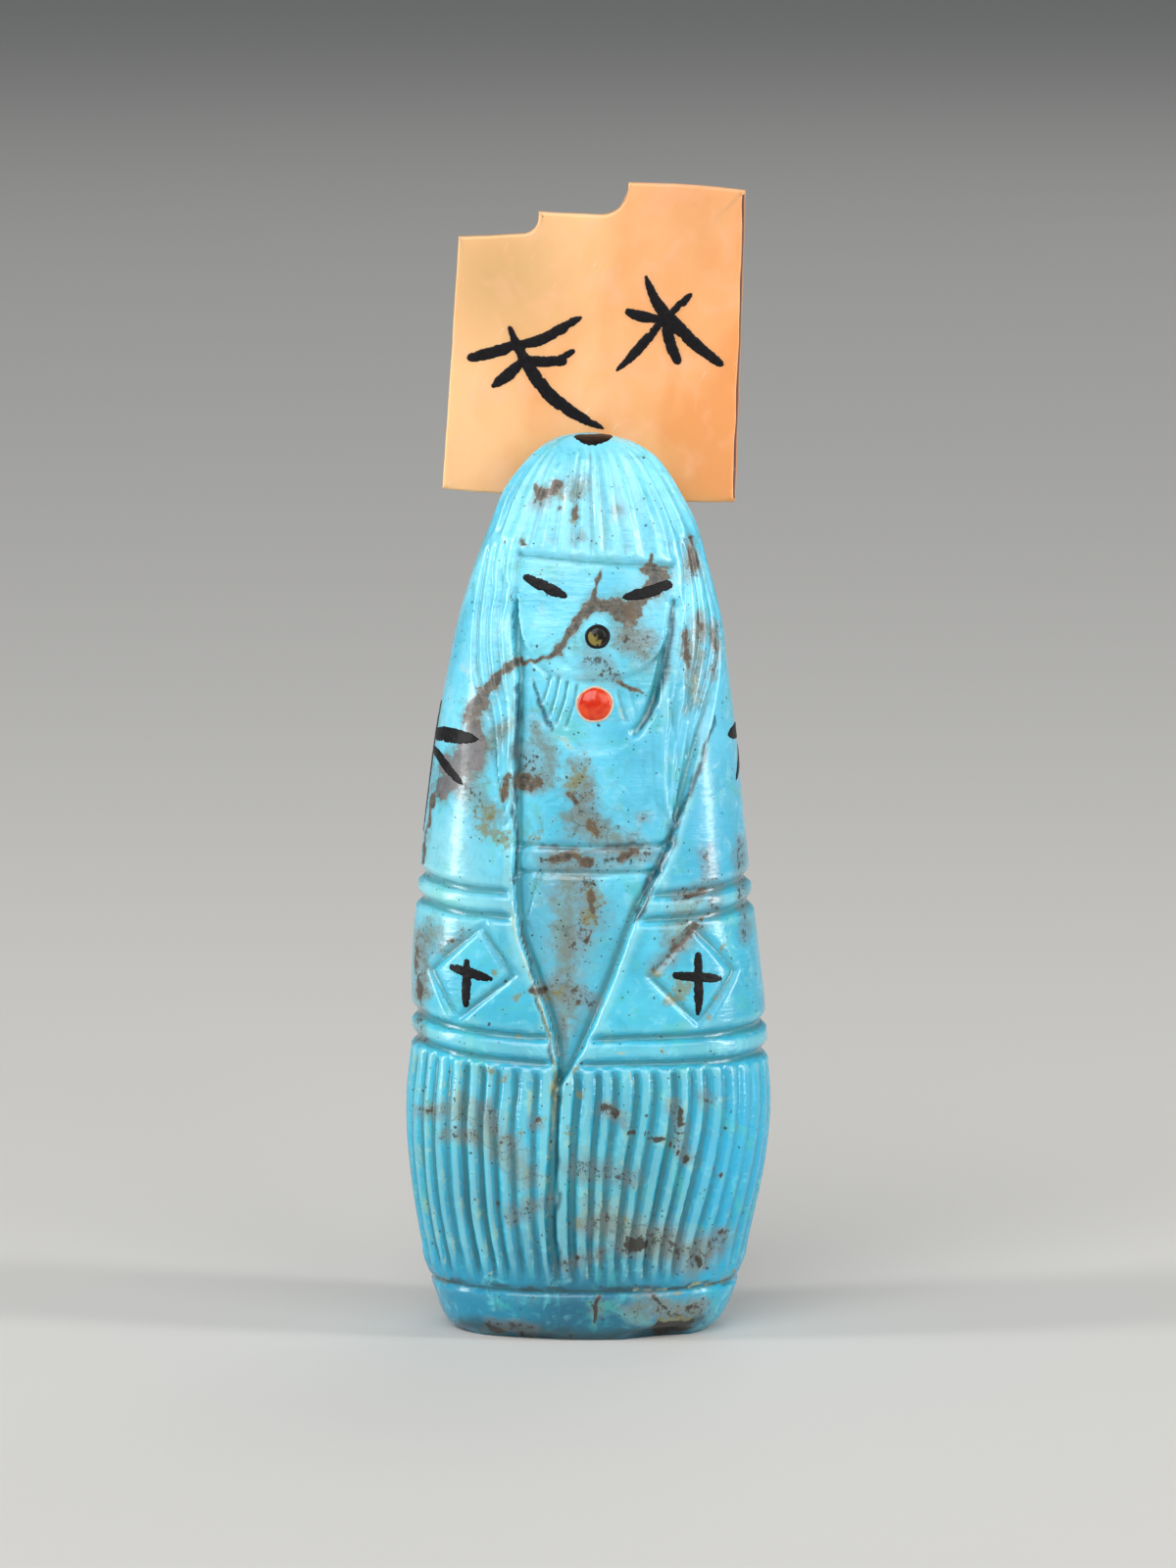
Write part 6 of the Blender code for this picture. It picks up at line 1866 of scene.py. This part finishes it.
for name, value in {
    "Roughness": 0.3, "IOR": 1.55, "Subsurface Weight": 0.2,
    "Subsurface Radius": (1.0, 0.6, 0.3), "Subsurface Scale": 1.2 * MM, "Coat Weight": 0.2,
    "Coat Roughness": 0.15}.items():
    shader.inputs[name].default_value = value
print("nodes in the shell:", len(tree.nodes))

# %% [markdown]
# The plate is a piece like the stone. Its points keep their place in its own frame and how far
# they belong to the broken right edge. Corners sharper than 40 degrees stay crisp.

# %% The plate
SHARP_ANGLE = math.radians(40)
plate = new_piece("shell_tablita_filed", from_plate(plate_points), plate_faces, shell,
                  "shell_tablita")
write_values(plate, "plate_place", *(plate_points / MM).T)
write_values(plate, "skin", np.tile(right_side, len(rings)))
plate.data.set_sharp_from_angle(angle=SHARP_ANGLE)
print("plate:", len(plate.data.polygons), "faces")

# %% [markdown]
# Two black figures are inlaid in the plate: a dragonfly with a curved tail, and a star of four
# strokes. They are made as the other strokes were, on the flat front of the plate.

# %% Inlays of the plate
TABLITA_STROKES = {
    "tablita_dragonfly_inlay": [
        ([(520, 334), (525, 346), (534, 364), (547, 386), (566, 408), (593, 426), (616, 437)],
         (0.25, 0.98, 0.12)),
        ([(481, 365), (505, 359), (531, 351)], (0.6, 0.85, 0.6)),
        ([(531, 352), (553, 346), (574, 335), (592, 324)], (0.6, 0.78, 0.25)),
        ([(538, 368), (556, 369), (575, 368)], (0.5, 0.8, 0.6)),
        ([(572, 366), (586, 358)], (0.55, 0.5, 0.1)),
        ([(534, 368), (520, 381), (502, 395)], (0.4, 0.85, 0.1)),
    ],
    "tablita_star_inlay": [
        ([(659, 282), (665, 298), (675, 316), (691, 333), (708, 350), (735, 371)], (0.15, 0.95, 0.5)),
        ([(629, 378), (640, 368), (654, 353), (676, 327)], (0.12, 0.68, 0.4)),
        ([(682, 322), (695, 310), (706, 300)], (0.35, 0.56, 0.12)),
        ([(640, 318), (655, 323), (672, 325)], (0.35, 0.78, 0.5)),
        ([(679, 330), (684, 350), (691, 368)], (0.4, 0.85, 0.6)),
    ],
}


def plate_surface(places, lift):
    """The front of the plate, lifting towards the viewer."""
    return from_plate(np.column_stack([places[:, 0], -lift, places[:, 1]]))


def picture_on_plate(steps):
    """Where steps of the picture fall on the front of the plate, in its own frame."""
    across, down = np.array(steps, float).T
    across = (across - FRAME_WIDTH / 2) * PICTURE_STEP / CAMERA_DISTANCE
    up = (FRAME_HEIGHT / 2 - down) * PICTURE_STEP / CAMERA_DISTANCE
    ray = AHEAD + across[:, None] * (1, 0, 0) + up[:, None] * UPWARD
    eye = np.array(camera.location)
    reach = (plate_front - eye[1]) / ray[:, 1]
    return to_plate(eye + ray * reach[:, None])[:, [0, 2]]


for name, strokes in TABLITA_STROKES.items():
    strokes = [(picture_on_plate(steps), np.array(widths) * MM) for steps, widths in strokes]
    set_inlay(name, plate_surface, strokes, seed)
    seed += 1

# %% [markdown]
# The carving stands on a wide sheet of pale paper. It is the stage and not a piece, so it
# rides on no body of the model.

# %% Floor
FLOOR_HALF = 12.0
floor_mesh = bpy.data.meshes.new("floor")
ends = [(-FLOOR_HALF, -FLOOR_HALF, 0), (FLOOR_HALF, -FLOOR_HALF, 0),
        (FLOOR_HALF, FLOOR_HALF, 0), (-FLOOR_HALF, FLOOR_HALF, 0)]
floor_mesh.from_pydata(ends, [], [(0, 1, 2, 3)])
floor = bpy.data.objects.new("floor", floor_mesh)
bpy.context.scene.collection.objects.link(floor)
paper, tree, shader, place = new_material("pale_paper")
for name, value in {"Base Color": linear("#cbc9c5"), "Roughness": 0.9}.items():
    shader.inputs[name].default_value = value
floor_mesh.materials.append(paper)
print("floor in metres:", 2 * FLOOR_HALF)

# %% [markdown]
# The lamps are soft. Two tall, narrow ones stand close at the sides and draw the upright
# streaks that show the polish. Two broad ones light the front from above, and one behind lights
# the rims. The air has a dim light of its own. Each lamp has its direction and rise in degrees,
# its distance, width and height in metres, and its power in watts.

# %% Lamps
LAMPS = [
    ("left_strip", -78, 12, 0.45, 0.07, 0.5, 1.5),
    ("right_strip", 74, 14, 0.45, 0.06, 0.5, 1.4),
    ("front", -20, 38, 2.0, 1.5, 1.5, 25.0),
    ("front_right", 35, 25, 2.2, 1.3, 1.3, 12.0),
    ("behind", 160, 50, 2.2, 1.2, 1.2, 7.0),
]
for name, azimuth, rise, distance, width, height, power in LAMPS:
    lamp_data = bpy.data.lights.new(name, "AREA")
    lamp_data.shape = "RECTANGLE"
    lamp_data.size = width
    lamp_data.size_y = height
    lamp_data.energy = power
    lamp = bpy.data.objects.new(name, lamp_data)
    bpy.context.scene.collection.objects.link(lamp)
    angle, lift = math.radians(azimuth), math.radians(rise)
    level = math.cos(lift)
    towards = Vector((math.sin(angle) * level, -math.cos(angle) * level, math.sin(lift)))
    lamp.location = Vector((0, 0, AIM_HEIGHT)) + towards * distance
    lamp.rotation_euler = (-towards).to_track_quat("-Z", "Y").to_euler()

world = bpy.data.worlds.new("studio")
bpy.context.scene.world = world
world.use_nodes = True
world.node_tree.nodes["Background"].inputs[0].default_value = linear("#c4c8cc")
world.node_tree.nodes["Background"].inputs[1].default_value = 0.35
bpy.context.scene.view_settings.view_transform = "Standard"
print("lamps:", len(LAMPS))
